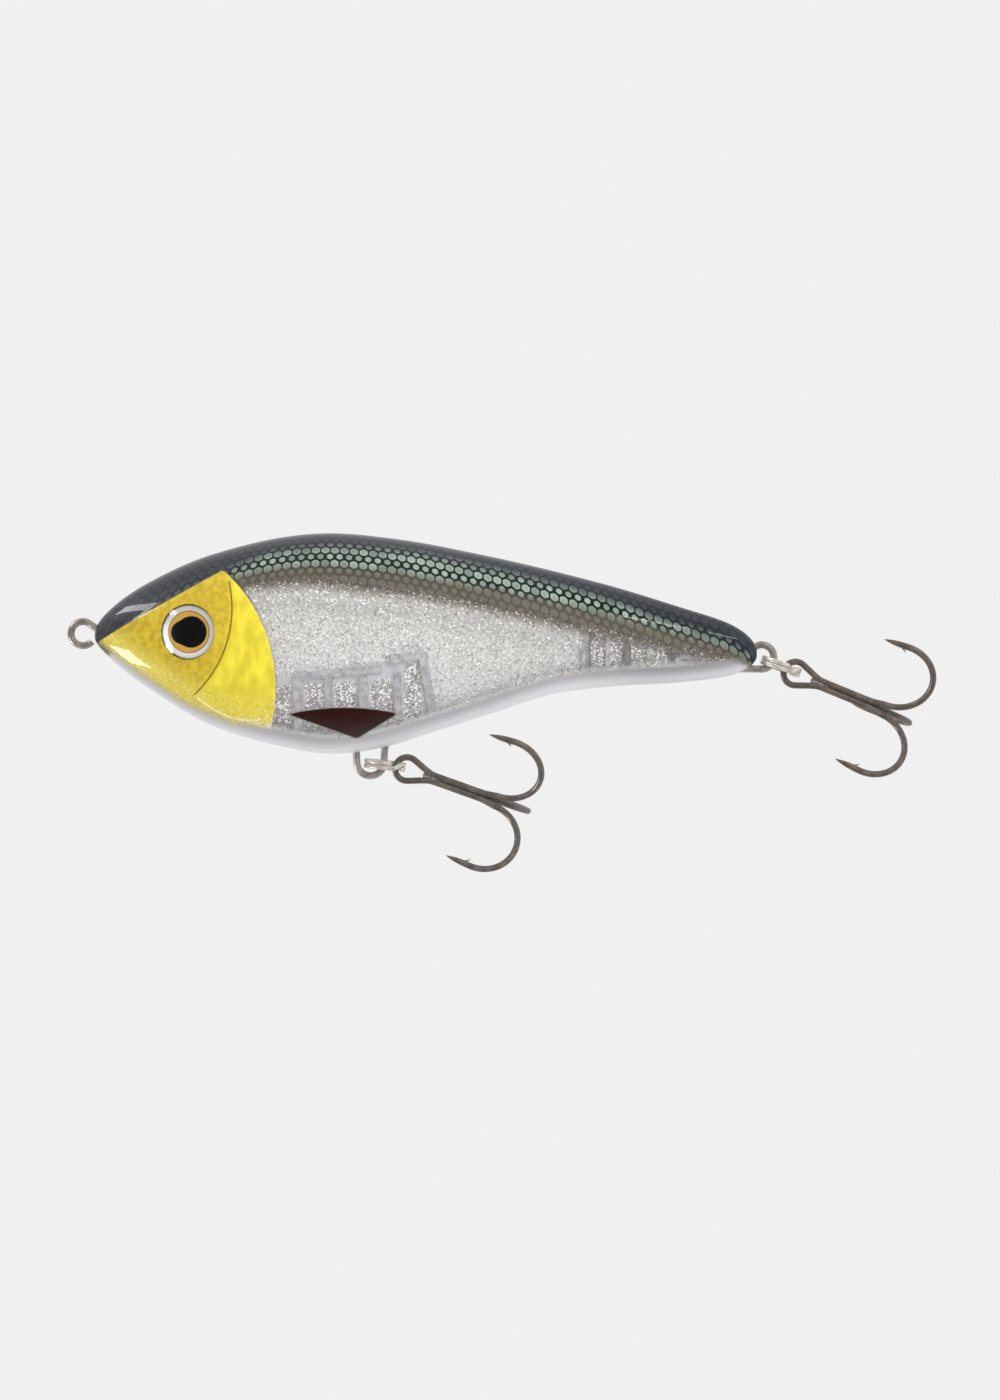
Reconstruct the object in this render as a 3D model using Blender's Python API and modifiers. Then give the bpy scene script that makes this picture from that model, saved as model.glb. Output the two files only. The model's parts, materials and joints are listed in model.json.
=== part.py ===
"""A hard-bodied swimbait: a hollow two-piece plastic body with wire eyes, ballast and rattles,
and a treble hook on a split ring under the belly and at the tail.

Metres. The origin is the centre of the nose eye, where the line is tied. +X runs from the nose to
the tail, +Z is up and -Y is the lure's left side.
"""

import math

import bmesh
import bpy
import numpy as np
from mathutils import Matrix, Vector

MM = 0.001

# Body outline, as (distance behind the nose, height) and (distance behind the nose, half width).
NOSE_X = 2.1 * MM
BODY_LENGTH = 119.65 * MM
BACK_LINE = (
    (0, -0.4), (2.4, 3.9), (10, 9.3), (22, 14.5), (43, 18.1), (55, 17.0),
    (71, 14.0), (90.7, 9.3), (105.7, 4.8), (115.6, 1.3), (118.2, -0.6), (119.65, -3.7),
)  # fmt: skip
BELLY_LINE = (
    (0, -0.4), (2.4, -4.0), (10, -10.0), (22, -16.9), (33, -20.2), (43, -21.7),
    (52, -20.6), (60.5, -18.0), (71, -14.6), (83.3, -10.8), (90.7, -9.8), (105.7, -8.8),
    (115.6, -7.3), (118.2, -6.1), (119.65, -3.7),
)  # fmt: skip
HALF_WIDTH_LINE = (
    (0, 0), (2.4, 3.7), (10, 8.0), (22, 11.2), (38, 12.4), (55, 11.6),
    (71, 9.4), (90.7, 6.2), (105.7, 3.9), (115.6, 2.5), (119.65, 0),
)  # fmt: skip
WIDEST_AT = 0.5  # share of the height at which a section is widest
SECTION_POWER = 2.3  # 2 is an ellipse, and more is squarer
STATIONS = 30
SECTION_STEPS = 13
SEAM_GAP = 0.1 * MM
HEAD_WALL = 2.7 * MM
BODY_WALL = 1.8 * MM
FIRST_TURN = 0.05  # the body's end faces stand this angle in from its very tips

# Main chamber, the walls and ribs moulded across it, and the pockets behind it.
CHAMBER_FRONT = 13 * MM
CHAMBER_REAR = 89.9 * MM
CHAMBER_STATIONS = 16
RIB = 1.1 * MM
WALL = 1.5 * MM
RIB_REACH = 14 * MM  # past the widest part of the body
LOWER_FRONT_WALL_X = 39.4 * MM
LOWER_REAR_WALL = ((61.4, -3.9), (63.9, -18.5))
SHELF = ((38.9, -7.8), (54.5, -6.2), (56.0, -4.0), (62.0, -3.9))
CELL_RIBS_X = (45.0 * MM, 51.3 * MM, 56.6 * MM)
CELL_RIB_TOP = -7.0 * MM
HANGER_BOSS = (43.6 * MM, 60.4 * MM, -17.3 * MM)  # front, rear and top
CHAMBER_FLOOR = -23 * MM  # below every wall and rib
RATTLE_POCKETS = (((91.5, 97.7), 0.45), ((98.7, 105.6), 0.2))  # front and rear, then top
RATTLE_FLOOR = -7.4 * MM
RATTLE_POCKET_HALF_DEPTH = 2.35 * MM
TAIL_POCKET = ((108.0, -3.4), (112.6, -3.4), (108.4, -1.0))
TAIL_POCKET_HALF_DEPTH = 1.2 * MM

# Wire eyes, all of the same stainless wire, set in channels across the seam.
EYE_WIRE = 1.3 * MM
CHANNEL_CLEARANCE = 0.3 * MM
NOSE_EYE_RADIUS = 2.17 * MM
TAIL_EYE_RADIUS = 2.2 * MM
TAIL_EYE_CENTRE = (122.55 * MM, -4.23 * MM)
HANGER_RADIUS = 2.45 * MM
HANGER_CENTRE = (51.9 * MM, -23.24 * MM)
ARC_STEP = math.radians(18)

# Fish eyes: a foil disc under a clear dome, in a socket turned a little forward.
FISH_EYE_CENTRE = (20.15 * MM, 0.1 * MM)
FISH_EYE_TURN = math.radians(10)
SOCKET_FLOOR_Y = 8.75 * MM
SOCKET_RADIUS = 5.2 * MM
SOCKET_DEPTH = 5 * MM
FOIL_RADIUS = 4.8 * MM
FOIL_THICKNESS = 0.3 * MM
FOIL_GAP = 0.1 * MM
DOME_RADIUS = 4.9 * MM
DOME_RIM = 0.9 * MM
DOME_RISE = 1.35 * MM
DOME_STEPS = 5

# Ballast bars across the lower chamber, one to a cell, and rattle balls.
BALLAST_CENTRES = (
    (42.3 * MM, -14.4 * MM), (48.15 * MM, -14.4 * MM), (53.95 * MM, -14.4 * MM), (59.6 * MM, -12.9 * MM),
)  # fmt: skip
BALLAST_SIZE = (3.3 * MM, 9.0 * MM, 4.6 * MM)
BALLAST_EDGE = 0.5 * MM
RATTLE_RADIUS = 1.75 * MM
RATTLE_CENTRES = ((94.6 * MM, -5.45 * MM), (102.0 * MM, -5.45 * MM))

# Split rings: nearly two turns of flattened wire that step past their own ends.
RING_OUTSIDE = 7.6 * MM
RING_WIRE_DEPTH = 0.7 * MM
RING_WIRE_THICKNESS = 0.8 * MM
RING_LAYER_GAP = 0.06 * MM
RING_START = math.radians(-20)  # where the wire's lower end lies, counted from the ring's outer end
RING_TURN = math.radians(669)
RING_STEP_START = math.radians(314)
RING_STEP = math.radians(38)
RING_CORNER = 0.15 * MM
RING_POINTS = 61
BELLY_RING_PIVOT = (51.1 * MM, -23.34 * MM)
BELLY_RING_DIP = math.radians(6.7)
TAIL_RING_PIVOT = (122.8 * MM, -4.75 * MM)
TAIL_RING_DIP = math.radians(20)

# Treble hooks. Lengths run along the shank from the middle of the wire at the eye's outer end.
HOOK_WIRE = 1.05 * MM
HOOK_EYE_RADIUS = 2.14 * MM
HOOK_NECK = 6.6 * MM
LEG_RADIUS = 0.64 * MM  # from the middle of the bundle to the middle of each leg
LEG_LEAVES = 15.5 * MM
BEND_CENTRE = (19.1 * MM, 7.4 * MM)
BEND_RADIUS = 6.3 * MM
POINT_LENGTH = 4.6 * MM
POINT_LEAN = math.radians(4.4)
POINT_TAPER = ((1, 0.12), (0.9, 0.34), (0.6, 0.86), (0.25, 1))  # share of the point, then of the wire
BARB_FROM_TIP = 4.4 * MM
BARB_HEIGHT = 0.75 * MM
BARB_LENGTH = 1.7 * MM
BARB_WIDTH = 0.36 * MM
BARB_HEEL = 0.35 * MM
HOOK_ANGLES = (math.radians(-30), math.radians(-150))  # the double's legs, round the bundle
BEND_STEPS = 13
BELLY_HOOK_PIVOT = (56.49 * MM, -23.75 * MM)
BELLY_HOOK_DIP = math.radians(19.7)
BELLY_HOOK_ROLL = math.radians(5)
BELLY_THIRD_ANGLE = math.radians(95)
TAIL_HOOK_PIVOT = (126.67 * MM, -6.41 * MM)
TAIL_HOOK_DIP = math.radians(22.3)
TAIL_HOOK_ROLL = math.radians(1)
TAIL_THIRD_ANGLE = math.radians(92.5)

LEFT, RIGHT = -1, 1


def clear_scene():
    for obj in list(bpy.data.objects):
        bpy.data.objects.remove(obj, do_unlink=True)


def new_collection(name):
    collection = bpy.data.collections.new(name)
    bpy.context.scene.collection.children.link(collection)
    return collection


def new_material(name, colour, roughness, metallic=0.0, transmission=0.0):
    material = bpy.data.materials.new(name)
    material.use_nodes = True
    shader = material.node_tree.nodes["Principled BSDF"]
    shader.inputs["Base Color"].default_value = (*colour, 1)
    shader.inputs["Roughness"].default_value = roughness
    shader.inputs["Metallic"].default_value = metallic
    shader.inputs["Transmission Weight"].default_value = transmission
    return material


def add_object(name, data, collection, material=None, parent=None):
    obj = bpy.data.objects.new(name, data)
    collection.objects.link(obj)
    if material is not None:
        data.materials.append(material)
    obj.parent = parent
    return obj


def add_bmesh(name, bm, collection, material=None, parent=None):
    bmesh.ops.recalc_face_normals(bm, faces=bm.faces)
    mesh = bpy.data.meshes.new(name)
    bm.to_mesh(mesh)
    bm.free()
    return add_object(name, mesh, collection, material, parent)


def make_cutter(obj):
    obj.hide_render = True
    obj.display_type = "WIRE"
    return obj


def add_boolean(obj, other, operation):
    modifier = obj.modifiers.new(f"{operation.title()} {other.name}", "BOOLEAN")
    modifier.operation = operation
    modifier.object = other


def shade_round(obj, angle=40):
    obj.data.shade_smooth()
    obj.data.set_sharp_from_angle(angle=math.radians(angle))


def joint_empty(name, pivot, dip, collection, parent=None):
    """An empty on a joint's axis. Its own X points along the ring or the shank, dip below level."""
    empty = bpy.data.objects.new(name, None)
    empty.empty_display_size = 3 * MM
    collection.objects.link(empty)
    place = Matrix.Translation((pivot[0], 0, pivot[1])) @ Matrix.Rotation(dip, 4, "Y")
    empty.parent = parent
    if parent is not None:
        place = parent.matrix_basis.inverted() @ place
    empty.matrix_basis = place
    return empty


# Body


def body_angle(distance):
    """The distance behind the nose as an angle, which makes a smooth line round at both ends."""
    share = min(max(distance / BODY_LENGTH, 0), 1)
    return math.acos(1 - 2 * share)


def on_line(line, distance):
    """The value at a distance behind the nose on a smooth line through an outline's points."""
    knots = np.array([body_angle(d * MM) for d, _ in line])
    values = np.array([value * MM for _, value in line])
    slopes = np.gradient(values, knots)
    angle = body_angle(distance)
    i = int(np.clip(np.searchsorted(knots, angle) - 1, 0, len(knots) - 2))
    span = knots[i + 1] - knots[i]
    t = (angle - knots[i]) / span
    start = values[i] * (1 + 2 * t) * (1 - t) ** 2 + values[i + 1] * t * t * (3 - 2 * t)
    return start + span * (slopes[i] * t * (1 - t) ** 2 + slopes[i + 1] * t * t * (t - 1))


def body_section(x, angles, inset=0.0):
    """Points of the body's section at x. An angle is 0 at the back and pi at the belly."""
    distance = x - NOSE_X
    top = on_line(BACK_LINE, distance) - inset
    bottom = on_line(BELLY_LINE, distance) + inset
    half_width = on_line(HALF_WIDTH_LINE, distance) - inset
    middle = bottom + WIDEST_AT * (top - bottom)
    points = []
    for angle in angles:
        side = math.copysign(abs(math.sin(angle)) ** (2 / SECTION_POWER), math.sin(angle))
        rise = abs(math.cos(angle)) ** (2 / SECTION_POWER)
        height = (top - middle) * rise if math.cos(angle) > 0 else (bottom - middle) * rise
        points.append((x, half_width * side, middle + height))
    return points


def loft(name, loops, collection, material=None):
    """A closed skin over loops that all have the same number of points."""
    bm = bmesh.new()
    rows = [[bm.verts.new(point) for point in loop] for loop in loops]
    count = len(rows[0])
    for row, following in zip(rows, rows[1:]):
        for i in range(count):
            j = (i + 1) % count
            bm.faces.new((row[i], row[j], following[j], following[i]))
    bm.faces.new(rows[0])
    bm.faces.new(rows[-1])
    return add_bmesh(name, bm, collection, material)


def prism(name, outline, half_depth, collection):
    """A flat outline in the XZ plane, in millimetres, drawn out to both sides of the seam."""
    bm = bmesh.new()
    face = bm.faces.new([bm.verts.new((x * MM, -half_depth, z * MM)) for x, z in outline])
    drawn = bmesh.ops.extrude_face_region(bm, geom=[face])["geom"]
    moved = [part for part in drawn if isinstance(part, bmesh.types.BMVert)]
    bmesh.ops.translate(bm, verts=moved, vec=(0, 2 * half_depth, 0))
    return make_cutter(add_bmesh(name, bm, collection))


def bar_outline(points, thickness):
    """The outline of a bar of even thickness along a line of points, all in millimetres."""
    line = [Vector(point) for point in points]
    upper, lower = [], []
    for i, point in enumerate(line):
        way = (line[min(i + 1, len(line) - 1)] - line[max(i - 1, 0)]).normalized()
        out = Vector((-way.y, way.x)) * thickness / 2
        upper.append(tuple(point + out))
        lower.append(tuple(point - out))
    return upper + lower[::-1]


def arch_outline(span, top, floor):
    """A pocket's outline: a flat floor, upright sides and a half-round top, in millimetres."""
    radius = (span[1] - span[0]) / 2
    middle = (span[0] + span[1]) / 2
    turn = [math.pi * i / 10 for i in range(11)]
    arch = [(middle + radius * math.cos(a), top - radius + radius * math.sin(a)) for a in turn]
    return [(span[0], floor), (span[1], floor)] + arch


def moulded_ribs(cutters):
    """The walls and ribs that cross the main chamber, each as a solid to take from its cutter."""
    rib, wall = RIB / MM, WALL / MM
    floor = CHAMBER_FLOOR / MM
    front = LOWER_FRONT_WALL_X / MM
    outlines = {
        "lower_front_wall": bar_outline(((front, SHELF[0][1]), (front, floor)), wall),
        "lower_rear_wall": bar_outline((*LOWER_REAR_WALL, (LOWER_REAR_WALL[1][0], floor)), wall),
        "shelf": bar_outline(SHELF, rib),
    }
    for number, x in enumerate(CELL_RIBS_X, 1):
        ends = ((x / MM, CELL_RIB_TOP / MM), (x / MM, floor))
        outlines[f"cell_rib_{number}"] = bar_outline(ends, rib)
    boss_front, boss_rear, boss_top = (value / MM for value in HANGER_BOSS)
    outlines["hanger_boss"] = (
        (boss_front, floor), (boss_rear, floor), (boss_rear, boss_top), (boss_front, boss_top),
    )  # fmt: skip
    return [prism(name, outline, RIB_REACH, cutters) for name, outline in outlines.items()]


def main_chamber(cutters):
    """The main hollow, with the ribs left standing in it."""
    around = [2 * math.pi * i / (2 * SECTION_STEPS) for i in range(2 * SECTION_STEPS)]
    loops = []
    for x in np.linspace(CHAMBER_FRONT, CHAMBER_REAR, CHAMBER_STATIONS):
        share = (x - CHAMBER_FRONT) / (CHAMBER_REAR - CHAMBER_FRONT)
        wall = max(HEAD_WALL + (BODY_WALL - HEAD_WALL) * 2 * share, BODY_WALL)
        loops.append(body_section(x, around, wall))
    chamber = make_cutter(loft("main_chamber", loops, cutters))
    for rib in moulded_ribs(cutters):
        add_boolean(chamber, rib, "DIFFERENCE")
    return chamber


def rear_pockets(cutters):
    pockets = []
    for number, (span, top) in enumerate(RATTLE_POCKETS, 1):
        outline = arch_outline(span, top, RATTLE_FLOOR / MM)
        pockets.append(
            prism(f"rattle_pocket_{number}", outline, RATTLE_POCKET_HALF_DEPTH, cutters)
        )
    pockets.append(prism("tail_pocket", TAIL_POCKET, TAIL_POCKET_HALF_DEPTH, cutters))
    return pockets


def eye_place(side):
    """The middle of a socket's floor, with Z pointing out of the head."""
    turn = Matrix.Rotation(side * FISH_EYE_TURN, 4, "Z")
    out = Matrix.Rotation(-side * math.pi / 2, 4, "X")
    place = Matrix.Translation((FISH_EYE_CENTRE[0], side * SOCKET_FLOOR_Y, FISH_EYE_CENTRE[1]))
    return place @ turn @ out


def eye_socket(name, side, cutters):
    bm = bmesh.new()
    bmesh.ops.create_cone(
        bm, cap_ends=True, segments=36, radius1=SOCKET_RADIUS, radius2=SOCKET_RADIUS, depth=SOCKET_DEPTH
    )
    bmesh.ops.translate(bm, verts=bm.verts, vec=(0, 0, SOCKET_DEPTH / 2))
    socket = make_cutter(add_bmesh(name, bm, cutters))
    socket.matrix_basis = eye_place(side)
    return socket


def body_shell(name, side, hollows, collection, cutters, material):
    """One half of the body, closed by a flat face beside the seam."""
    angles = [math.pi * i / SECTION_STEPS for i in range(SECTION_STEPS + 1)]
    loops = []
    for turn in np.linspace(FIRST_TURN, math.pi - FIRST_TURN, STATIONS):
        x = NOSE_X + BODY_LENGTH * (1 - math.cos(turn)) / 2
        section = body_section(x, angles)
        loops.append([(x, side * max(y, SEAM_GAP / 2), z) for x, y, z in section])
    shell = loft(name, loops, collection, material)
    for hollow in hollows:
        add_boolean(shell, hollow, "DIFFERENCE")
    add_boolean(shell, eye_socket(f"{name}_socket", side, cutters), "DIFFERENCE")
    shade_round(shell)
    return shell


# Wire


def arc(centre, radius, start, end, step=ARC_STEP):
    """Points round a circle from one angle to another, counted from +X towards +Z."""
    count = max(2, round(abs(end - start) / step))
    turn = np.linspace(start, end, count + 1)
    return [(centre[0] + radius * math.cos(a), centre[1] + radius * math.sin(a)) for a in turn]


def in_seam(points):
    return [(x, 0, z) for x, z in points]


def wire(name, points, diameter, collection, material=None, parent=None, radii=None):
    """A round wire along its points, with closed ends."""
    curve = bpy.data.curves.new(name, "CURVE")
    curve.dimensions = "3D"
    curve.bevel_depth = diameter / 2
    curve.bevel_resolution = 2
    curve.use_fill_caps = True
    spline = curve.splines.new("POLY")
    spline.points.add(len(points) - 1)
    for i, point in enumerate(points):
        spline.points[i].co = (*point, 1)
        spline.points[i].radius = 1 if radii is None else radii[i]
    return add_object(name, curve, collection, material, parent)


def as_mesh(obj, collection):
    """The same object with its curve made into a welded mesh."""
    bpy.context.view_layer.update()
    graph = bpy.context.evaluated_depsgraph_get()
    mesh = bpy.data.meshes.new_from_object(obj.evaluated_get(graph))
    bm = bmesh.new()
    bm.from_mesh(mesh)
    bmesh.ops.remove_doubles(bm, verts=bm.verts, dist=1e-6)
    bmesh.ops.recalc_face_normals(bm, faces=bm.faces)
    bm.to_mesh(mesh)
    bm.free()
    name, parent, place = obj.name, obj.parent, obj.matrix_basis.copy()
    bpy.data.objects.remove(obj)
    made = add_object(name, mesh, collection, parent=parent)
    made.matrix_basis = place
    return made


def nose_eye_path():
    foot = [
        (10.6, -2.6), (10.6, -0.9), (10.2, -0.2), (9.4, 0.1), (4.6, 0.1), (3.4, 0.35), (2.6, 0.85),
    ]  # fmt: skip
    ring = arc((0, 0), NOSE_EYE_RADIUS, math.radians(42), math.radians(308))
    return in_seam([(x * MM, z * MM) for x, z in foot] + ring)


def tail_eye_path():
    foot = [(108.0, -4.0), (108.3, -4.8), (109.2, -5.2), (113.8, -5.9), (118.5, -6.4)]
    ring = arc(TAIL_EYE_CENTRE, TAIL_EYE_RADIUS, math.radians(-102), math.radians(190))
    return in_seam([(x * MM, z * MM) for x, z in foot] + ring)


def belly_hanger_path():
    half = [(6.6, -18.8), (4.6, -18.8), (3.3, -19.2), (2.6, -20.1)]
    front = [(HANGER_CENTRE[0] - x * MM, z * MM) for x, z in half]
    rear = [(HANGER_CENTRE[0] + x * MM, z * MM) for x, z in half[::-1]]
    loop = arc(HANGER_CENTRE, HANGER_RADIUS, math.radians(180), math.radians(360))
    return in_seam(front + loop + rear)


def wire_channel(name, path, cutters):
    fat = wire(name, path, EYE_WIRE + 2 * CHANNEL_CLEARANCE, cutters)
    return make_cutter(as_mesh(fat, cutters))


# Fish eyes, ballast and rattles


def fish_eye(side, word, collection, foil_material, dome_material):
    """A foil disc on the socket's floor and a clear dome on the disc."""
    place = eye_place(side)
    bm = bmesh.new()
    bmesh.ops.create_cone(
        bm, cap_ends=True, segments=32, radius1=FOIL_RADIUS, radius2=FOIL_RADIUS, depth=FOIL_THICKNESS
    )
    foil = add_bmesh(f"eye_foil_{word}", bm, collection, foil_material)
    foil.matrix_basis = place @ Matrix.Translation((0, 0, FOIL_GAP + FOIL_THICKNESS / 2))
    shade_round(foil)
    profile = bmesh.new()
    sphere = (DOME_RADIUS**2 + DOME_RISE**2) / (2 * DOME_RISE)
    reach = math.asin(DOME_RADIUS / sphere)
    turn = [reach * i / DOME_STEPS for i in range(DOME_STEPS + 1)]
    cap = [(sphere * math.sin(a), sphere * math.cos(a)) for a in turn]
    outline = [(x, DOME_RIM + DOME_RISE + z - sphere) for x, z in cap] + [(DOME_RADIUS, 0), (0, 0)]
    dots = [profile.verts.new((x, 0, z)) for x, z in outline]
    for dot, following in zip(dots, dots[1:]):
        profile.edges.new((dot, following))
    mesh = bpy.data.meshes.new(f"eye_dome_{word}")
    profile.to_mesh(mesh)
    profile.free()
    dome = add_object(f"eye_dome_{word}", mesh, collection, dome_material)
    screw = dome.modifiers.new("Turn", "SCREW")
    screw.steps = screw.render_steps = 30
    screw.use_merge_vertices = True
    screw.merge_threshold = 0.00001
    dome.matrix_basis = place @ Matrix.Translation((0, 0, 2 * FOIL_GAP + FOIL_THICKNESS))


def ballast(number, centre, collection, material):
    bm = bmesh.new()
    bmesh.ops.create_cube(bm, size=1, matrix=Matrix.Diagonal((*BALLAST_SIZE, 1)))
    bar = add_bmesh(f"ballast_bar_{number}", bm, collection, material)
    bar.location = (centre[0], 0, centre[1])
    edge = bar.modifiers.new("Edges", "BEVEL")
    edge.width = BALLAST_EDGE
    edge.segments = 2
    shade_round(bar)


def rattle_ball(name, centre, collection, material):
    bm = bmesh.new()
    bmesh.ops.create_uvsphere(bm, u_segments=16, v_segments=10, radius=RATTLE_RADIUS)
    ball = add_bmesh(name, bm, collection, material)
    ball.location = (centre[0], 0, centre[1])
    ball.data.shade_smooth()


# Split rings


def coil_points():
    """The middle of a split ring's wire. The pivot is at the origin and the ring lies along +X.

    The wire starts in the lower layer and steps up on the left side, behind the ring's middle.
    """
    radius = (RING_OUTSIDE - RING_WIRE_DEPTH) / 2
    half_layer = (RING_WIRE_THICKNESS + RING_LAYER_GAP) / 2
    points = []
    for turn in np.linspace(0, RING_TURN, RING_POINTS):
        share = np.clip((turn - RING_STEP_START) / RING_STEP, 0, 1)
        level = -half_layer * math.cos(math.pi * share)
        angle = RING_START + turn
        points.append((radius + radius * math.cos(angle), radius * math.sin(angle), level))
    return points


def ring_section(cutters):
    """The flattened wire's section, deeper across the ring than it is thick."""
    curve = bpy.data.curves.new("ring_section", "CURVE")
    spline = curve.splines.new("POLY")
    spline.points.add(7)
    across, up, corner = RING_WIRE_DEPTH / 2, RING_WIRE_THICKNESS / 2, RING_CORNER
    corners = (
        (across, corner - up), (across, up - corner), (across - corner, up), (corner - across, up),
        (-across, up - corner), (-across, corner - up), (corner - across, -up), (across - corner, -up),
    )  # fmt: skip
    for point, (x, y) in zip(spline.points, corners):
        point.co = (x, y, 0, 1)
    spline.use_cyclic_u = True
    return make_cutter(add_object("ring_section", curve, cutters))


def split_ring(name, section, axis, collection, material):
    coil = wire(name, coil_points(), RING_WIRE_DEPTH, collection, parent=axis)
    coil.data.twist_mode = "Z_UP"
    coil.data.bevel_mode = "OBJECT"
    coil.data.bevel_object = section
    ring = as_mesh(coil, collection)
    ring.data.materials.append(material)
    shade_round(ring, 50)


# Treble hooks. In a hook's own frame X runs down the shank, Z is up and the middle of the eye's
# outer end is the origin. The eye lies in the XZ plane.


def bundle_middle():
    """How far the middle of the three legs lies behind the plane of the eye."""
    return LEG_RADIUS / 2


def hook_leg():
    """One hook from its tip to the start of its shank, as (length, distance from the bundle)."""
    turn = np.linspace(math.pi / 2 + POINT_LEAN, -math.pi / 2, BEND_STEPS + 1)
    bend = [
        (BEND_CENTRE[0] + BEND_RADIUS * math.cos(a), BEND_CENTRE[1] + BEND_RADIUS * math.sin(a))
        for a in turn
    ]
    start = Vector(bend[0])
    way = Vector((-math.cos(POINT_LEAN), -math.sin(POINT_LEAN)))
    point = [tuple(start + way * POINT_LENGTH * share) for share, _ in POINT_TAPER]
    gap = bend[-1][1] - LEG_RADIUS
    run = BEND_CENTRE[0] - LEG_LEAVES
    leaving = [(LEG_LEAVES + run * share, LEG_RADIUS + gap * share**2) for share in (0.6, 0.3)]
    shank = [(LEG_LEAVES, LEG_RADIUS), (HOOK_NECK + 1.2 * MM, LEG_RADIUS)]
    return point + bend + leaving + shank


def leg_radii(leg):
    """The wire's thickness along a leg, ground down to the tip."""
    return [thickness for _, thickness in POINT_TAPER] + [1] * (len(leg) - len(POINT_TAPER))


def around_bundle(leg, angle):
    """Turns a leg about the bundle. The angle is 0 straight up and grows away from -Y."""
    middle = bundle_middle()
    return [(x, middle + r * math.sin(angle), r * math.cos(angle)) for x, r in leg]


def eye_loop():
    """The teardrop eye, from the upper leg round the outer end to the lower leg."""
    centre = (HOOK_EYE_RADIUS, 0)
    neck = Vector((HOOK_NECK - centre[0], LEG_RADIUS * math.cos(math.pi / 6)))
    tangent = math.atan2(neck.y, neck.x) + math.acos(HOOK_EYE_RADIUS / neck.length)
    loop = arc(centre, HOOK_EYE_RADIUS, tangent, 2 * math.pi - tangent, math.radians(16))
    rounding = [
        (HOOK_NECK + 0.35 * MM, neck.y + 0.02 * MM),
        (HOOK_NECK - 0.5 * MM, neck.y + 0.19 * MM),
    ]
    upper = [(x, 0, z) for x, z in rounding]
    lower = [(x, 0, -z) for x, z in rounding[::-1]]
    return upper + [(x, 0, z) for x, z in loop] + lower


def barb(name, angle, cutters):
    """A spur cut from the inner side of the point, with its own tip towards the bend."""
    turn = math.pi / 2 + POINT_LEAN
    start = Vector(BEND_CENTRE) + BEND_RADIUS * Vector((math.cos(turn), math.sin(turn)))
    way = Vector((-math.cos(POINT_LEAN), -math.sin(POINT_LEAN)))
    foot = start + way * (POINT_LENGTH - BARB_FROM_TIP)
    tip = foot - Vector((0, HOOK_WIRE / 2 + BARB_HEIGHT))
    corners = (foot + way * BARB_LENGTH, tip, foot + way * BARB_HEEL)
    bm = bmesh.new()
    face = bm.faces.new([bm.verts.new((x, -BARB_WIDTH / 2, z)) for x, z in corners])
    drawn = bmesh.ops.extrude_face_region(bm, geom=[face])["geom"]
    moved = [part for part in drawn if isinstance(part, bmesh.types.BMVert)]
    bmesh.ops.translate(bm, verts=moved, vec=(0, BARB_WIDTH, 0))
    place = Matrix.Translation((0, bundle_middle(), 0)) @ Matrix.Rotation(-angle, 4, "X")
    bmesh.ops.transform(bm, verts=bm.verts, matrix=place)
    return make_cutter(add_bmesh(name, bm, cutters))


def treble(word, axis, roll, far, collection, cutters, material):
    """A double hook bent from one wire round its eye, and a third hook brazed into its groove."""
    upper, lower = HOOK_ANGLES
    leg = hook_leg()
    path = around_bundle(leg, upper) + eye_loop() + around_bundle(leg, lower)[::-1]
    radii = leg_radii(leg) + [1] * len(eye_loop()) + leg_radii(leg)[::-1]
    double = wire(f"{word}_treble_double", path, HOOK_WIRE, collection, None, axis, radii)
    name = f"{word}_treble_third"
    third = wire(name, around_bundle(leg, far), HOOK_WIRE, collection, None, axis, leg_radii(leg))
    hooks = {double.name: (double, (upper, lower)), third.name: (third, (far,))}
    for name, (curve, angles) in hooks.items():
        hook = as_mesh(curve, collection)
        hook.data.materials.append(material)
        hook.rotation_euler.x = roll
        for number, angle in enumerate(angles, 1):
            spur = barb(f"{name}_barb_{number}", angle, cutters)
            spur.parent = axis
            spur.rotation_euler.x = roll
            add_boolean(hook, spur, "UNION")
        shade_round(hook, 50)


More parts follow.
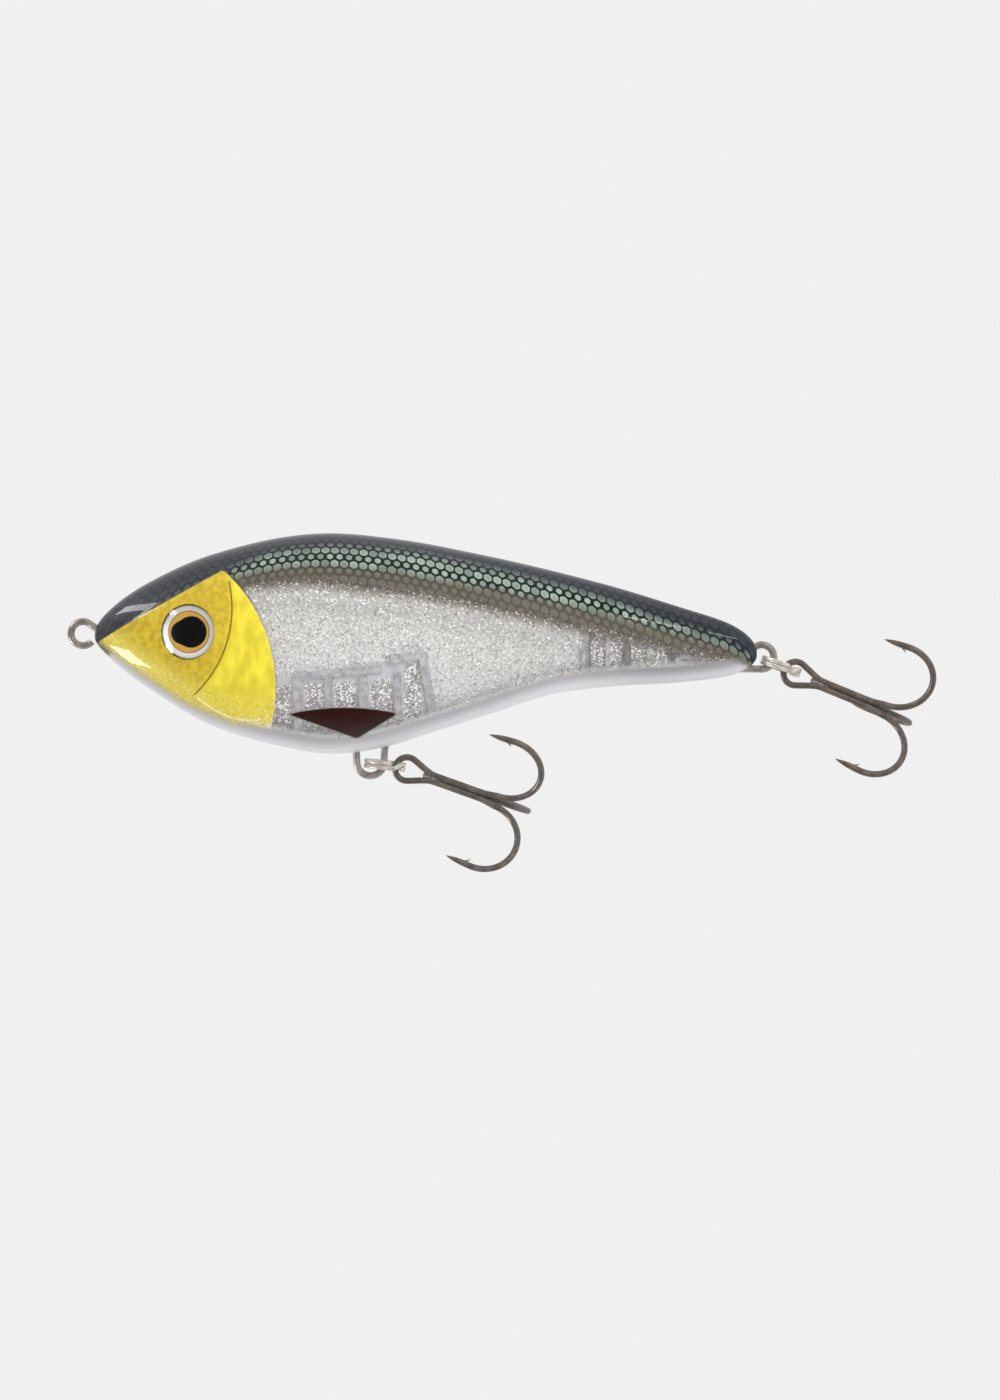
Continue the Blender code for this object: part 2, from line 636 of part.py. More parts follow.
def build():
    clear_scene()
    parts = new_collection("swimbait")
    cutters = new_collection("cutters")

    plastic = new_material("Clear plastic", (0.72, 0.74, 0.74), 0.12, transmission=0.4)
    steel = new_material("Stainless wire", (0.62, 0.58, 0.55), 0.28, metallic=1)
    dark_steel = new_material("Dark hook wire", (0.09, 0.085, 0.08), 0.3, metallic=1)
    ballast_steel = new_material("Ballast steel", (0.4, 0.4, 0.42), 0.35, metallic=1)
    foil = new_material("Eye foil", (0.85, 0.35, 0.06), 0.25, metallic=0.6)
    clear = new_material("Clear dome", (0.95, 0.95, 0.95), 0.03, transmission=1)

    wires = {
        "nose_eye": nose_eye_path(),
        "belly_hanger": belly_hanger_path(),
        "tail_eye": tail_eye_path(),
    }
    hollows = [main_chamber(cutters)] + rear_pockets(cutters)
    for name, path in wires.items():
        wire(name, path, EYE_WIRE, parts, steel)
        hollows.append(wire_channel(f"{name}_channel", path, cutters))

    for side, word in ((LEFT, "left"), (RIGHT, "right")):
        body_shell(f"body_shell_{word}", side, hollows, parts, cutters, plastic)
        fish_eye(side, word, parts, foil, clear)
    for number, centre in enumerate(BALLAST_CENTRES, 1):
        ballast(number, centre, parts, ballast_steel)
    for word, centre in zip(("front", "rear"), RATTLE_CENTRES):
        rattle_ball(f"rattle_ball_{word}", centre, parts, ballast_steel)

    section = ring_section(cutters)
    rings = (("belly", BELLY_RING_PIVOT, BELLY_RING_DIP), ("tail", TAIL_RING_PIVOT, TAIL_RING_DIP))
    hooks = (
        (BELLY_HOOK_PIVOT, BELLY_HOOK_DIP, BELLY_HOOK_ROLL, BELLY_THIRD_ANGLE),
        (TAIL_HOOK_PIVOT, TAIL_HOOK_DIP, TAIL_HOOK_ROLL, TAIL_THIRD_ANGLE),
    )
    for (word, ring_pivot, ring_dip), (pivot, dip, roll, third_angle) in zip(rings, hooks):
        ring_axis = joint_empty(f"{word}_ring_axis", ring_pivot, ring_dip, parts)
        split_ring(f"{word}_split_ring", section, ring_axis, parts, steel)
        hook_axis = joint_empty(f"{word}_hook_axis", pivot, dip, parts, ring_axis)
        treble(word, hook_axis, roll, third_angle, parts, cutters, dark_steel)


build()
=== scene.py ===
"""The looks of a hard-bodied swimbait: a clear plastic body painted over silver glitter, wire eyes,
split rings and treble hooks.

Lengths in the tables are millimetres and everything built is in metres. X runs from the nose to the
tail, Z is up and -Y is the lure's left side, which faces the camera.
"""

import json
import math

import bmesh
import bpy
import numpy as np
from mathutils import Matrix, Vector


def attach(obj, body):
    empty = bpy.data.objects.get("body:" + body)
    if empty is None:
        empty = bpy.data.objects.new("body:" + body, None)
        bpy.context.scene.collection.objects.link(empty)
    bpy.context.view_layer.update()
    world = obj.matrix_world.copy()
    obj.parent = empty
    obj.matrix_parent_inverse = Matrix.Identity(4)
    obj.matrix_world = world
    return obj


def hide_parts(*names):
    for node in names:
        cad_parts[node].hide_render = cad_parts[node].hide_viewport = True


MM = 0.001
SIDES = {"left": -1, "right": 1}

# Camera and studio.
CAMERA_PLACE = (0.0753, -0.597, -0.0120)
CAMERA_LENS = 85
CAMERA_SENSOR = 36
BACKGROUND = (0.871, 0.871, 0.871)
FLOOR_DROP = 0.90
FLOOR_RADIUS = 3.0
FLOOR_X = 0.06
FLOOR_SEGMENTS = 96
WORLD_FRONT, WORLD_SIDES = 0.10, 0.95
WORLD_FRONT_EDGES = (-0.75, -0.10)
LIGHT_TARGET = (0.045, 0, 0)
LIGHTS = (  # name, place, size, watts, the kind of surface it shows in
    ("front_fill", (0.30, -0.85, 0.22), (0.7, 0.7), 9.0, "matt"),
    ("top_key", (0.02, -0.25, 0.75), (0.7, 0.5), 2.5, "matt"),
    ("nose_top_glow", (-0.46, -0.10, 0.36), (0.36, 0.09), 1.2, "gloss"),
    ("cheek_glow", (-0.33, -0.07, -0.19), (0.15, 0.13), 1.0, "gloss"),
    ("tail_back_glow", (0.42, -0.46, 0.27), (0.22, 0.03), 0.2, "gloss"),
)

# Body outline, as (distance behind the nose, height) and (distance behind the nose, half width).
BACK_LINE = (
    (0, -0.4), (2.4, 3.9), (10, 9.3), (22, 14.5), (43, 18.1), (55, 17.0),
    (71, 14.0), (90.7, 9.3), (105.7, 4.8), (115.6, 1.3), (118.2, -0.6), (119.65, -3.7),
)  # fmt: skip
BELLY_LINE = (
    (0, -0.4), (2.4, -4.0), (10, -10.0), (22, -16.9), (33, -20.2), (43, -21.7),
    (52, -20.6), (60.5, -18.0), (71, -14.6), (83.3, -10.8), (90.7, -9.8), (105.7, -8.8),
    (115.6, -7.3), (118.2, -6.1), (119.65, -3.7),
)  # fmt: skip
HALF_WIDTH_LINE = (
    (0, 0), (2.4, 3.7), (10, 8.0), (22, 11.2), (38, 12.4), (55, 11.6),
    (71, 9.4), (90.7, 6.2), (105.7, 3.9), (115.6, 2.5), (119.65, 0),
)  # fmt: skip
NOSE_X = 2.1
BODY_LENGTH = 119.65
WIDEST_AT = 0.5
SECTION_POWER = 2.3
SKIN_STATIONS = 270
SKIN_STEPS = 96
SKIN_FIRST_TURN = 0.05
SEAM_HALF_GAP = 0.05
SEAM_DIP = 0.12
ARC_SAMPLES = 24
SMOOTH_UNDER = 35  # degrees between faces

# Paint on the body, in the lure's own X and Z.
CHEEK_TOP = ((3.6, -1.2), (25.8, 11.1))
CHEEK_ARC = ((8.8, -9.4), 26.8)
CHEEK_LOW = ((2, -1.0), (5, -3.2), (10.3, -7.1), (19, -12.9), (27.3, -16.3), (34, -16.9), (38, -17.0))
JAW_LINE = ((21.4, -11.6), (24.0, -13.6), (26.8, -15.0), (29.5, -15.6), (32.1, -15.6), (34.2, -15.0))
GILL_ARC = ((8.0, 4.0), 19.8)
GILL_HEIGHTS = (-11.2, 9.1)
FIN_TOP = ((37.2, -14.5), (48.0, -13.25), (57.5, -14.35))
FIN_APEX = (49.8, -19.0)
SLATE_DEPTH = (
    (3, 6.0), (14, 5.6), (24, 4.4), (34, 2.6), (60, 1.9), (90, 2.3), (104, 3.0), (118, 3.2),
)  # fmt: skip
SCALES_DEPTH = ((3, 7.5), (26, 6.2), (50, 7.2), (90, 6.4), (110, 5.6), (122, 5.0))
FADE_DEPTH = ((3, 9.0), (26, 7.6), (50, 9.8), (90, 9.2), (110, 7.6), (122, 6.0))
GLITTER_ABOVE_BELLY = 2.9

# Relief of the head, as (height or depth, width).
CHEEK_RISE, CHEEK_EDGE = 0.16, 0.25
LIP_RISE, LIP_WIDTH, LIP_STARTS = 0.08, 0.35, (24, 28)
GROOVE_DEPTH, GROOVE_WIDTH, GROOVE_ENDS = 0.22, 0.25, (0.3, -0.6)
JAW_RISE, JAW_WIDTH = 0.12, 0.35

# Scales of the back.
SCALE_PITCH = 1.7
SCALE_ROUND = 0.4  # how much of a round cell is mixed into the six-sided one
SCALE_EDGE = (0.37, 0.46)
SCALE_CUP = (0.1, 0.4)
SCALE_GROOVE, SCALE_GROOVE_STRENGTH = 0.015, 0.3
HEXAGON = math.sqrt(3) / 2

# Edges of the paint, in millimetres from each zone's line, and of the flakes, as shares of all flakes.
BRIGHT_FLAKES, DARK_FLAKES = (0.82, 0.94), (0.88, 0.97)
SPARKLES, SPECKS = (0.74, 0.9), (0.80, 0.95)
CORE_BRIGHT_FLAKES, CORE_DARK_FLAKES = (0.58, 0.72), (0.72, 0.90)
BROWN_EDGE = (3.2, -0.6)
# The lower flank's paler silver is painted light, as if lit from below.
LOW_LIGHT_PAINT_EDGE, LOW_LIGHT_PAINT_SHARE = (5.0, 17.0), 0.6
PEARL_EDGE = (2.6, 0.0)
TAIL_EDGE, TAIL_SHARE = (86.0, 104.0), 0.75
BELLY_EDGE = (GLITTER_ABOVE_BELLY + 0.5, GLITTER_ABOVE_BELLY - 0.3)
SLATE_EDGE, OLIVE_EDGE, FADE_EDGE = (-0.8, 1.8), (-1.8, 0.4), (0.6, -1.6)
FADE_RAGGED, PATCH_RAGGED = 2.4, 2.2
GILL_SHADE_EDGE, GILL_LINE_EDGE, GILL_END_EDGE = (-1.2, 1.2), (0.22, 0.06), (0.1, -0.4)
LOW_CHEEK_EDGE, LIVELY_EDGE, JAW_LINE_EDGE = (7.0, 2.0), (7.5, 0.5), (0.32, 0.08)
CHEEK_PAINT_EDGE, CHEEK_LOW_EDGE = (-0.05, 0.15), (-1.0, 1.6)
# Where the painted shade line runs, just outside the raised cheek's edge.
RIM_OFFSET, RIM_EDGE, RIM_ABOVE = 0.12, (0.3, 0.05), (1.0, 9.0)
FIN_EDGE = (-0.15, 0.25)
WINDOW_TOP, WINDOW_TOP_DIVIDED, WINDOW_LOW = (0.6, 5.5), (0.0, 1.4), (2.4, 4.2)
WINDOW_HAZE, GLINT_COVER = 0.22, 0.4
CLOUD_EDGE = (0.3, 0.7)

# Colours as screen values, 0 to 255. A pair is the two ends of a mixture.
SILVER, SILVER_PAINTED_LOW_LIGHT = ((184, 182, 180), (200, 198, 196)), (224, 222, 223)
BROWN = ((70, 64, 58), (104, 97, 89))
BRIGHT_FLAKE = ((232, 230, 227), (176, 168, 160))  # on silver, on brown
DARK_FLAKE = ((136, 132, 129), (52, 46, 40))
BELLY = ((166, 164, 168), (230, 230, 234))
TAIL_BELLY = ((134, 132, 135), (196, 195, 198))
MINT, MINT_DEEP, MINT_EDGE = ((112, 126, 117), (150, 164, 153)), (84, 98, 90), (18, 27, 22)
SLATE = ((50, 54, 60), (22, 25, 30))  # scale, edge
OLIVE = ((98, 94, 83), (46, 47, 39))
GOLDEN, YELLOW = ((176, 150, 43), (202, 177, 54)), ((204, 184, 53), (228, 213, 65))
LOW_YELLOW, SPARKLE, SPECK = (216, 196, 70), (238, 226, 140), (140, 120, 42)
# The gill line's brown is painted shade in its moulded groove, the jaw's pale line a painted highlight on
# its ridge, and the cheek's dark rim painted shade at the raised plate's edge.
GILL_GROOVE_SHADE, JAW_RIDGE_HIGHLIGHT, CHEEK_RIM_SHADE = (92, 72, 14), (240, 234, 186), (58, 52, 40)
FIN_RED = ((36, 9, 8), (46, 14, 13))
# The socket's brown is painted shadow in the recess.
SOCKET_SHADOW_BROWN = ((70, 44, 14), (96, 62, 20))
CORE_SILVER, CORE_COARSE = ((190, 188, 186), (206, 204, 202)), (152, 148, 146)
CORE_BRIGHT, CORE_DARK = (250, 248, 246), (98, 92, 89)
BARE_PLASTIC, CORE_BROWN = ((178, 176, 182), (198, 196, 201)), (112, 105, 96)
RIB_PLASTIC = ((130, 128, 133), (174, 172, 176))
# The arches' plastic is a darker copy of the ribs', painted shade along the rattle pockets.
ARCH_SHADE_PLASTIC = ((58, 54, 53), (96, 92, 91))
FOIL_GOLD, FOIL_SILVER = ((226, 166, 62), (244, 202, 96)), ((240, 234, 228), (254, 252, 248))
# The foil's dark outer ring is painted shadow where the foil meets the socket.
FOIL_SILVER_RIM, FOIL_OUTLINE, FOIL_EDGE_SHADOW = (196, 186, 176), (122, 74, 24), (58, 40, 22)
PUPIL_BLACK, CLEAR = (2, 2, 3), (255, 255, 255)
METALS = {  # dark and light, roughness, how metallic, how fine the tarnish
    "stainless_wire": (((138, 132, 127), (182, 175, 170)), 0.32, 0.6, 0.6),
    "split_ring_steel": (((186, 178, 168), (222, 215, 206)), 0.30, 0.5, 0.6),
    "belly_hook_wire": (((92, 85, 80), (112, 105, 99)), 0.32, 0.4, 0.6),
    "tail_hook_wire": (((90, 80, 75), (110, 100, 94)), 0.32, 0.4, 0.6),
    "hook_solder": (((116, 107, 102), (176, 165, 158)), 0.34, 0.5, 1.8),
    "ballast_steel": (((120, 120, 124), (160, 160, 164)), 0.35, 1.0, 0.6),
}

# Inside the clear body, seen through the flank.
CORE_SPAN = (27.0, 117.5)
CORE_INSET = 1.5
CORE_STATIONS = 90
CORE_STEPS = 64
BAR_SPACING = 0.5
ARCH_TURNS = 19
RIB_INSETS = (0.35, 1.75)
RIB_CLEARANCE = 1.0
RIBS = (
    (((38.9, -7.9), (46.0, -7.3), (54.3, -6.4)), 1.35),
    (((55.3, -4.9), (58.5, -4.4), (61.8, -3.9)), 1.5),
    (((61.5, -3.6), (62.4, -9.0), (63.9, -18.0)), 1.5),
    (((39.4, -8.0), (39.4, -13.0), (39.4, -19.0)), 1.6),
    (((44.95, -8.0), (44.95, -11.0), (44.95, -14.2)), 1.3),
    (((51.1, -8.0), (51.1, -11.0), (51.1, -14.2)), 1.5),
    (((57.2, -7.0), (57.2, -11.0), (57.2, -15.5)), 1.3),
    (((90.55, 1.6), (90.55, -3.0), (90.55, -9.2)), 1.3),
    (((94.6, 0.6), (94.6, -3.0), (94.6, -8.6)), 0.8),
    (((102.0, 0.2), (102.0, -3.0), (102.0, -7.8)), 0.8),
)
ARCHES = (((91.5, 97.9), 0.55, 0.9), ((98.2, 106.0), 0.4, 0.9))
ARCH_FLOOR = -7.4
POCKET_FRAMES = (
    (((107.6, -4.2), (113.6, -4.4), (114.2, -1.2), (112.0, -0.6)), 0.8),
    (((107.4, -4.4), (107.4, -9.0)), 1.2),
)
SHELF_LINE = ((38.9, -7.2), (62.0, -4.2))
REAR_WALL_LINE = ((64.4, -19.0), (62.2, -3.9))
RIB_ZONE_FRONT = 33.5
MAIN_GLITTER_REAR = 89.8
GLITTER_CELLS = (
    (33.0, 38.2, -18.6, -9.4), (40.6, 44.0, -14.6, -9.0), (46.0, 50.0, -14.6, -8.8),
    (52.2, 56.2, -14.6, -8.4), (58.2, 61.4, -16.8, -5.4), (40.0, 44.6, -18.3, -16.4),
    (54.4, 57.6, -17.1, -15.0),
)  # fmt: skip

FISH_EYE_CENTRE = (20.15, 0.1)
FISH_EYE_TURN = math.radians(10)
SOCKET_FLOOR_Y = 8.75
SOCKET_RADIUS = 4.95
SOCKET_DEPTH = 5
ROUND_SEGMENTS = 96
FOIL_RADIUS = 4.85
FOIL_RISE, FOIL_STEP, FOIL_UNDERSIDE = 0.4, 0.25, 0.1
FOIL_RINGS = 40
PUPIL_LOBES = ((0.42, 0.0, 2.6), (-1.15, -0.1, 1.9))  # ahead of centre, above it, radius
GOLD_RADIUS = 3.45
SILVER_RADIUS = 4.55
DOME_RADIUS = 4.85
DOME_RIM = 0.9
DOME_RISE = 1.35
DOME_LIFT = 0.5
DOME_STEPS = 18
DOME_BEVEL, DOME_FOOT = (0.02, 0.15), (0.1, 0.3)  # inwards from the rim, and height

# Wire eyes.
EYE_WIRE = 1.3
NOSE_EYE_RADIUS = 2.17
TAIL_EYE_RADIUS = 2.2
TAIL_EYE_CENTRE = (122.55, -4.23)
HANGER_RADIUS = 2.45
HANGER_CENTRE = (51.9, -23.24)
ARC_STEP = math.radians(5)
WIRE_SIDES = 6  # bevel resolution

# Split rings. A ring lies along its own X from the pivot.
RING_OUTSIDE = 7.6
RING_WIRE_DEPTH = 0.7
RING_WIRE_THICKNESS = 0.8
RING_CORNER = 0.24
RING_LAYER_GAP = 0.06
RING_CORNER_POINTS = 6
RING_SHARP = 50
RING_START = math.radians(-20)
RING_TURN = math.radians(669)
RING_STEP_START = math.radians(314)
RING_STEP = math.radians(38)
RING_POINTS = 260
RING_DIPS = {"belly": math.radians(6.7), "tail": math.radians(20)}

# Treble hooks. X runs down the shank, Z is up and the pivot is the middle of the eye's outer end.
HOOK_WIRE = 1.15
HOOK_EYE_RADIUS = 2.14
HOOK_NECK = 6.6
LEG_RADIUS = 0.64
LEG_LEAVES = 15.5
BEND_CENTRE = (19.1, 7.4)
BEND_RADIUS = 6.3
POINT_LENGTH = 4.6
POINT_LEAN = math.radians(4.4)
POINT_TAPER = ((1, 0.06), (0.9, 0.3), (0.6, 0.82), (0.25, 1))  # share of the point, thickness
BEND_STEPS = 44
LEAVING = np.linspace(0.9, 0.1, 9)  # shares of the way from the bend to the bundle
SHANK_STOPS = (LEG_LEAVES, 11.0, HOOK_NECK + 1.2)
NECK_ROUNDING = ((0.35, 0.02), (-0.5, 0.19))  # beyond the neck, out from the leg
BARB_WIRE = 0.5
BARB_LINE = (  # distance beyond the bend, drop towards the shank, thickness
    (2.1, 0.1, 0.9), (1.245, 0.32, 0.9), (0.58, 0.815, 0.5), (0.1, 1.2875, 0.08),
)  # fmt: skip
SOLDER_PROFILE = (
    (0, -1.9), (0.42, -1.7), (0.78, -1.0), (0.92, 0.0), (0.8, 1.0), (0.55, 1.9), (0.34, 2.6),
    (0.34, 9.6), (0, 9.8),
)  # fmt: skip
SOLDER_AT, SOLDER_SQUASH, SOLDER_SEGMENTS = 7.0, 0.8, 32
DOUBLE_ANGLES = (math.radians(-30), math.radians(-150))
THIRD_ANGLES = {"belly": math.radians(95), "tail": math.radians(92.5)}
HOOK_TURNS = {
    "belly": (math.radians(19.7), math.radians(5)),
    "tail": (math.radians(22.3), math.radians(1)),
}  # dip below level, roll about the shank


def main_view():
    """Camera, world, lights and floor. The floor and the world are one even pale tone to the eye."""
    camera = bpy.data.cameras.new("camera")
    camera.lens = CAMERA_LENS
    camera.sensor_fit = "VERTICAL"
    camera.sensor_height = camera.sensor_width = CAMERA_SENSOR
    camera_object = add_object("camera", camera)
    camera_object.location = CAMERA_PLACE
    camera_object.rotation_euler = (math.radians(90), 0, 0)
    bpy.context.scene.camera = camera_object
    bpy.context.scene.view_settings.view_transform = "Standard"
    studio_world()
    studio_floor()
    for settings in LIGHTS:
        softbox(*settings)


def softbox(name, place, size, power, shows):
    """A rectangular area light that faces the lure and shows in matt surfaces or in glossy ones."""
    light = bpy.data.lights.new(name, "AREA")
    light.shape = "RECTANGLE"
    light.size, light.size_y = size
    light.energy = power
    lamp = add_object(name, light)
    lamp.location = place
    lamp.rotation_euler = (Vector(LIGHT_TARGET) - Vector(place)).to_track_quat("-Z", "Y").to_euler()
    lamp.visible_glossy = shows == "gloss"
    lamp.visible_diffuse = shows == "matt"


def studio_world():
    """An even pale backdrop to the eye, and a soft light tent, darker at the front, to the lure."""
    world = bpy.data.worlds.new("studio")
    world.use_nodes = True
    bpy.context.scene.world = world
    tree = world.node_tree
    tree.nodes.clear()
    direction = add_node(tree, "TexCoord").outputs["Generated"]
    across = add_node(tree, "SeparateXYZ", {0: direction}).outputs["Y"]
    tent = smooth_range(tree, across, *WORLD_FRONT_EDGES, WORLD_FRONT, WORLD_SIDES)
    lighting = add_node(tree, "Background", {"Strength": tent}).outputs[0]
    backdrop = add_node(tree, "Background")
    backdrop.inputs["Color"].default_value = (*BACKGROUND, 1)
    to_eye = add_node(tree, "LightPath").outputs["Is Camera Ray"]
    shown = add_node(tree, "MixShader", {"Fac": to_eye, 1: lighting, 2: backdrop.outputs[0]})
    add_node(tree, "OutputWorld", {"Surface": shown.outputs[0]})


def studio_floor():
    """A pale disc far below the lure. Gloss and glass don't show it, so that dark paint stays dark."""
    bm = bmesh.new()
    bmesh.ops.create_circle(bm, cap_ends=True, segments=FLOOR_SEGMENTS, radius=FLOOR_RADIUS)
    glow = bpy.data.materials.new("pale_floor")
    glow.use_nodes = True
    sockets = glow.node_tree.nodes["Principled BSDF"].inputs
    sockets["Base Color"].default_value = (0, 0, 0, 1)
    sockets["Specular IOR Level"].default_value = 0
    sockets["Emission Color"].default_value = (*BACKGROUND, 1)
    sockets["Emission Strength"].default_value = 1
    floor = add_object("floor", mesh_of("floor", bm), (glow,))
    floor.location = (FLOOR_X, 0, -FLOOR_DROP)
    floor.visible_glossy = False
    floor.visible_transmission = False


def add_object(name, data, materials=()):
    obj = bpy.data.objects.new(name, data)
    bpy.context.scene.collection.objects.link(obj)
    for material in materials:
        data.materials.append(material)
    return obj


def mesh_of(name, bm):
    mesh = bpy.data.meshes.new(name)
    bm.to_mesh(mesh)
    bm.free()
    return mesh


# Material graphs


def srgb(colour):
    """A colour from its 0 to 255 screen values."""
    shares = [value / 255 for value in colour]
    return tuple(v / 12.92 if v <= 0.04045 else ((v + 0.055) / 1.055) ** 2.4 for v in shares)


def feed(tree, value, socket):
    """Links an output to a socket, or sets the socket to a number, a vector or a screen colour."""
    if isinstance(value, bpy.types.NodeSocket):
        tree.links.new(value, socket)
    elif socket.type == "RGBA":
        socket.default_value = (*srgb(value), 1)
    else:
        socket.default_value = value


def add_node(tree, kind, inputs=None, **settings):
    """A shader node with these settings. Its inputs are given by name or by number."""
    node = tree.nodes.new(f"ShaderNode{kind}")
    for name, value in settings.items():
        setattr(node, name, value)
    for key, value in (inputs or {}).items():
        feed(tree, value, node.inputs[key])
    return node


def smooth_range(tree, value, start, end, low=0.0, high=1.0):
    """low up to start, high from end on, and a smooth step between."""
    if start > end:
        start, end, low, high = end, start, high, low
    inputs = {"Value": value, "From Min": start, "From Max": end, "To Min": low, "To Max": high}
    return add_node(tree, "MapRange", inputs, interpolation_type="SMOOTHSTEP").outputs["Result"]


class Paint:
    """A material's node graph, with short calls for the sums that its paint needs."""

    def __init__(self, name):
        self.material = bpy.data.materials.new(name)
        self.material.use_nodes = True
        self.tree = self.material.node_tree

    def surface(self, **values):
        """Feeds the shader, where a name's underscores stand for spaces, and gives the material."""
        sockets = self.tree.nodes["Principled BSDF"].inputs
        for name, value in values.items():
            feed(self.tree, value, sockets[name.replace("_", " ")])
        return self.material

    def math(self, operation, *values):
        return add_node(self.tree, "Math", dict(enumerate(values)), operation=operation).outputs[0]

    def times(self, first, second):
        return self.math("MULTIPLY", first, second)

    def plus(self, first, second):
        return self.math("ADD", first, second)

    def without(self, share):
        """What a share leaves of 1."""
        return self.math("SUBTRACT", 1.0, share)

    def either(self, first, second):
        return self.math("MAXIMUM", first, second)

    def vector(self, operation, *values):
        outputs = add_node(self.tree, "VectorMath", dict(enumerate(values)), operation=operation).outputs
        return outputs["Value" if operation == "LENGTH" else "Vector"]

    def split(self, vector):
        return add_node(self.tree, "SeparateXYZ", {0: vector}).outputs

    def join(self, x, y):
        return add_node(self.tree, "CombineXYZ", {0: x, 1: y}).outputs[0]

    def place(self):
        """Where the point is in the piece, in millimetres."""
        place = add_node(self.tree, "TexCoord").outputs["Object"]
        scaled = add_node(self.tree, "VectorMath", {0: place, "Scale": 1 / MM}, operation="SCALE")
        return scaled.outputs["Vector"]

    def attribute(self, name):
        return add_node(self.tree, "Attribute", attribute_name=name).outputs["Fac"]

    def ramp(self, value, start, end, low=0.0, high=1.0):
        return smooth_range(self.tree, value, start, end, low, high)

    def mix(self, share, first, second):
        colours = {"Factor": share, 6: first, 7: second}
        return add_node(self.tree, "Mix", colours, data_type="RGBA").outputs[2]

    def noise(self, place, scale, detail=2.0):
        inputs = {"Vector": place, "Scale": scale, "Detail": detail}
        return add_node(self.tree, "TexNoise", inputs).outputs["Fac"]

    def flakes(self, place, scale):
        """Each cell's random colour, as three even random values."""
        cells = add_node(self.tree, "TexVoronoi", {"Vector": place, "Scale": scale})
        return self.split(cells.outputs["Color"])

    def ragged(self, distance, noise, amount):
        """A distance made uneven by a noise."""
        return self.plus(distance, self.times(self.math("SUBTRACT", noise, 0.5), amount))

    def bump(self, height, distance, strength):
        inputs = {"Height": height, "Distance": distance, "Strength": strength}
        return add_node(self.tree, "Bump", inputs).outputs["Normal"]


# Body surface


def on_line(line, distance):
    """Values at distances behind the nose on a smooth line through an outline's points."""
    share = np.clip(np.asarray(distance, float) / BODY_LENGTH, 0, 1)
    angle = np.arccos(1 - 2 * share)
    knots = np.arccos(1 - 2 * np.array([min(d / BODY_LENGTH, 1) for d, _ in line]))
    values = np.array([value for _, value in line], float)
    slopes = np.gradient(values, knots)
    i = np.clip(np.searchsorted(knots, angle) - 1, 0, len(knots) - 2)
    span = knots[i + 1] - knots[i]
    t = (angle - knots[i]) / span
    start = values[i] * (1 + 2 * t) * (1 - t) ** 2 + values[i + 1] * t * t * (3 - 2 * t)
    return start + span * (slopes[i] * t * (1 - t) ** 2 + slopes[i + 1] * t * t * (t - 1))


def body_lines(x, inset=0.0):
    """The back's height, the belly's height and the half width at x."""
    distance = np.asarray(x) - NOSE_X
    top = on_line(BACK_LINE, distance) - inset
    bottom = on_line(BELLY_LINE, distance) + inset
    return top, bottom, on_line(HALF_WIDTH_LINE, distance) - inset


def section_points(x, angles, inset=0.0):
    """y and z round the section at x. An angle is 0 at the back and pi at the belly."""
    top, bottom, half_width = body_lines(x, inset)
    middle = bottom + WIDEST_AT * (top - bottom)
    reach = np.where(np.cos(angles) > 0, top - middle, middle - bottom)
    rise = np.sign(np.cos(angles)) * np.abs(np.cos(angles)) ** (2 / SECTION_POWER)
    return half_width * np.abs(np.sin(angles)) ** (2 / SECTION_POWER), middle + reach * rise


def half_width_at(x, z, inset=0.0):
    """How far the body reaches sideways at a point of its outline."""
    top, bottom, half_width = body_lines(x, inset)
    middle = bottom + WIDEST_AT * (top - bottom)
    reach = np.where(z > middle, top - middle, middle - bottom)
    share = np.clip(np.abs(z - middle) / reach, 0, 1)
    return half_width * (1 - share**SECTION_POWER) ** (1 / SECTION_POWER)


def smooth_step(value, start, end):
    """0 at start and beyond it, 1 at end and beyond it, and smooth between."""
    t = np.clip((value - start) / (end - start), 0, 1)
    return t * t * (3 - 2 * t)


def above_segment(x, z, ends):
    """The signed distance above a straight line through two points."""
    (x0, z0), (x1, z1) = ends
    length = math.hypot(x1 - x0, z1 - z0)
    return ((x1 - x0) * (z - z0) - (z1 - z0) * (x - x0)) / length


def inside_circle(x, z, circle):
    (centre_x, centre_z), radius = circle
    return radius - np.hypot(x - centre_x, z - centre_z)


def inside_box(x, z, box):
    """The signed distance inside an upright rectangle of (left, right, bottom, top)."""
    left, right, bottom, top = box
    return np.minimum(np.minimum(x - left, right - x), np.minimum(z - bottom, top - z))


def along_path(x, z, points):
    """The distance from the nearest part of a line of points."""
    nearest = np.full(np.shape(x), 1e9)
    for (x0, z0), (x1, z1) in zip(points, points[1:]):
        run, rise = x1 - x0, z1 - z0
        t = np.clip(((x - x0) * run + (z - z0) * rise) / (run**2 + rise**2), 0, 1)
        nearest = np.minimum(nearest, np.hypot(x - x0 - t * run, z - z0 - t * rise))
    return nearest


def cheek(x, z):
    """The signed distance inside the yellow cheek's upper and rear edges."""
    return np.minimum(inside_circle(x, z, CHEEK_ARC), -above_segment(x, z, CHEEK_TOP))


def gill(x, z):
    """The signed distance behind the gill line, and the distance past either of its ends."""
    (centre_x, centre_z), radius = GILL_ARC
    off_arc = np.hypot(x - centre_x, z - centre_z) - radius
    past_end = np.maximum(z - GILL_HEIGHTS[1], GILL_HEIGHTS[0] - z)
    return off_arc, past_end


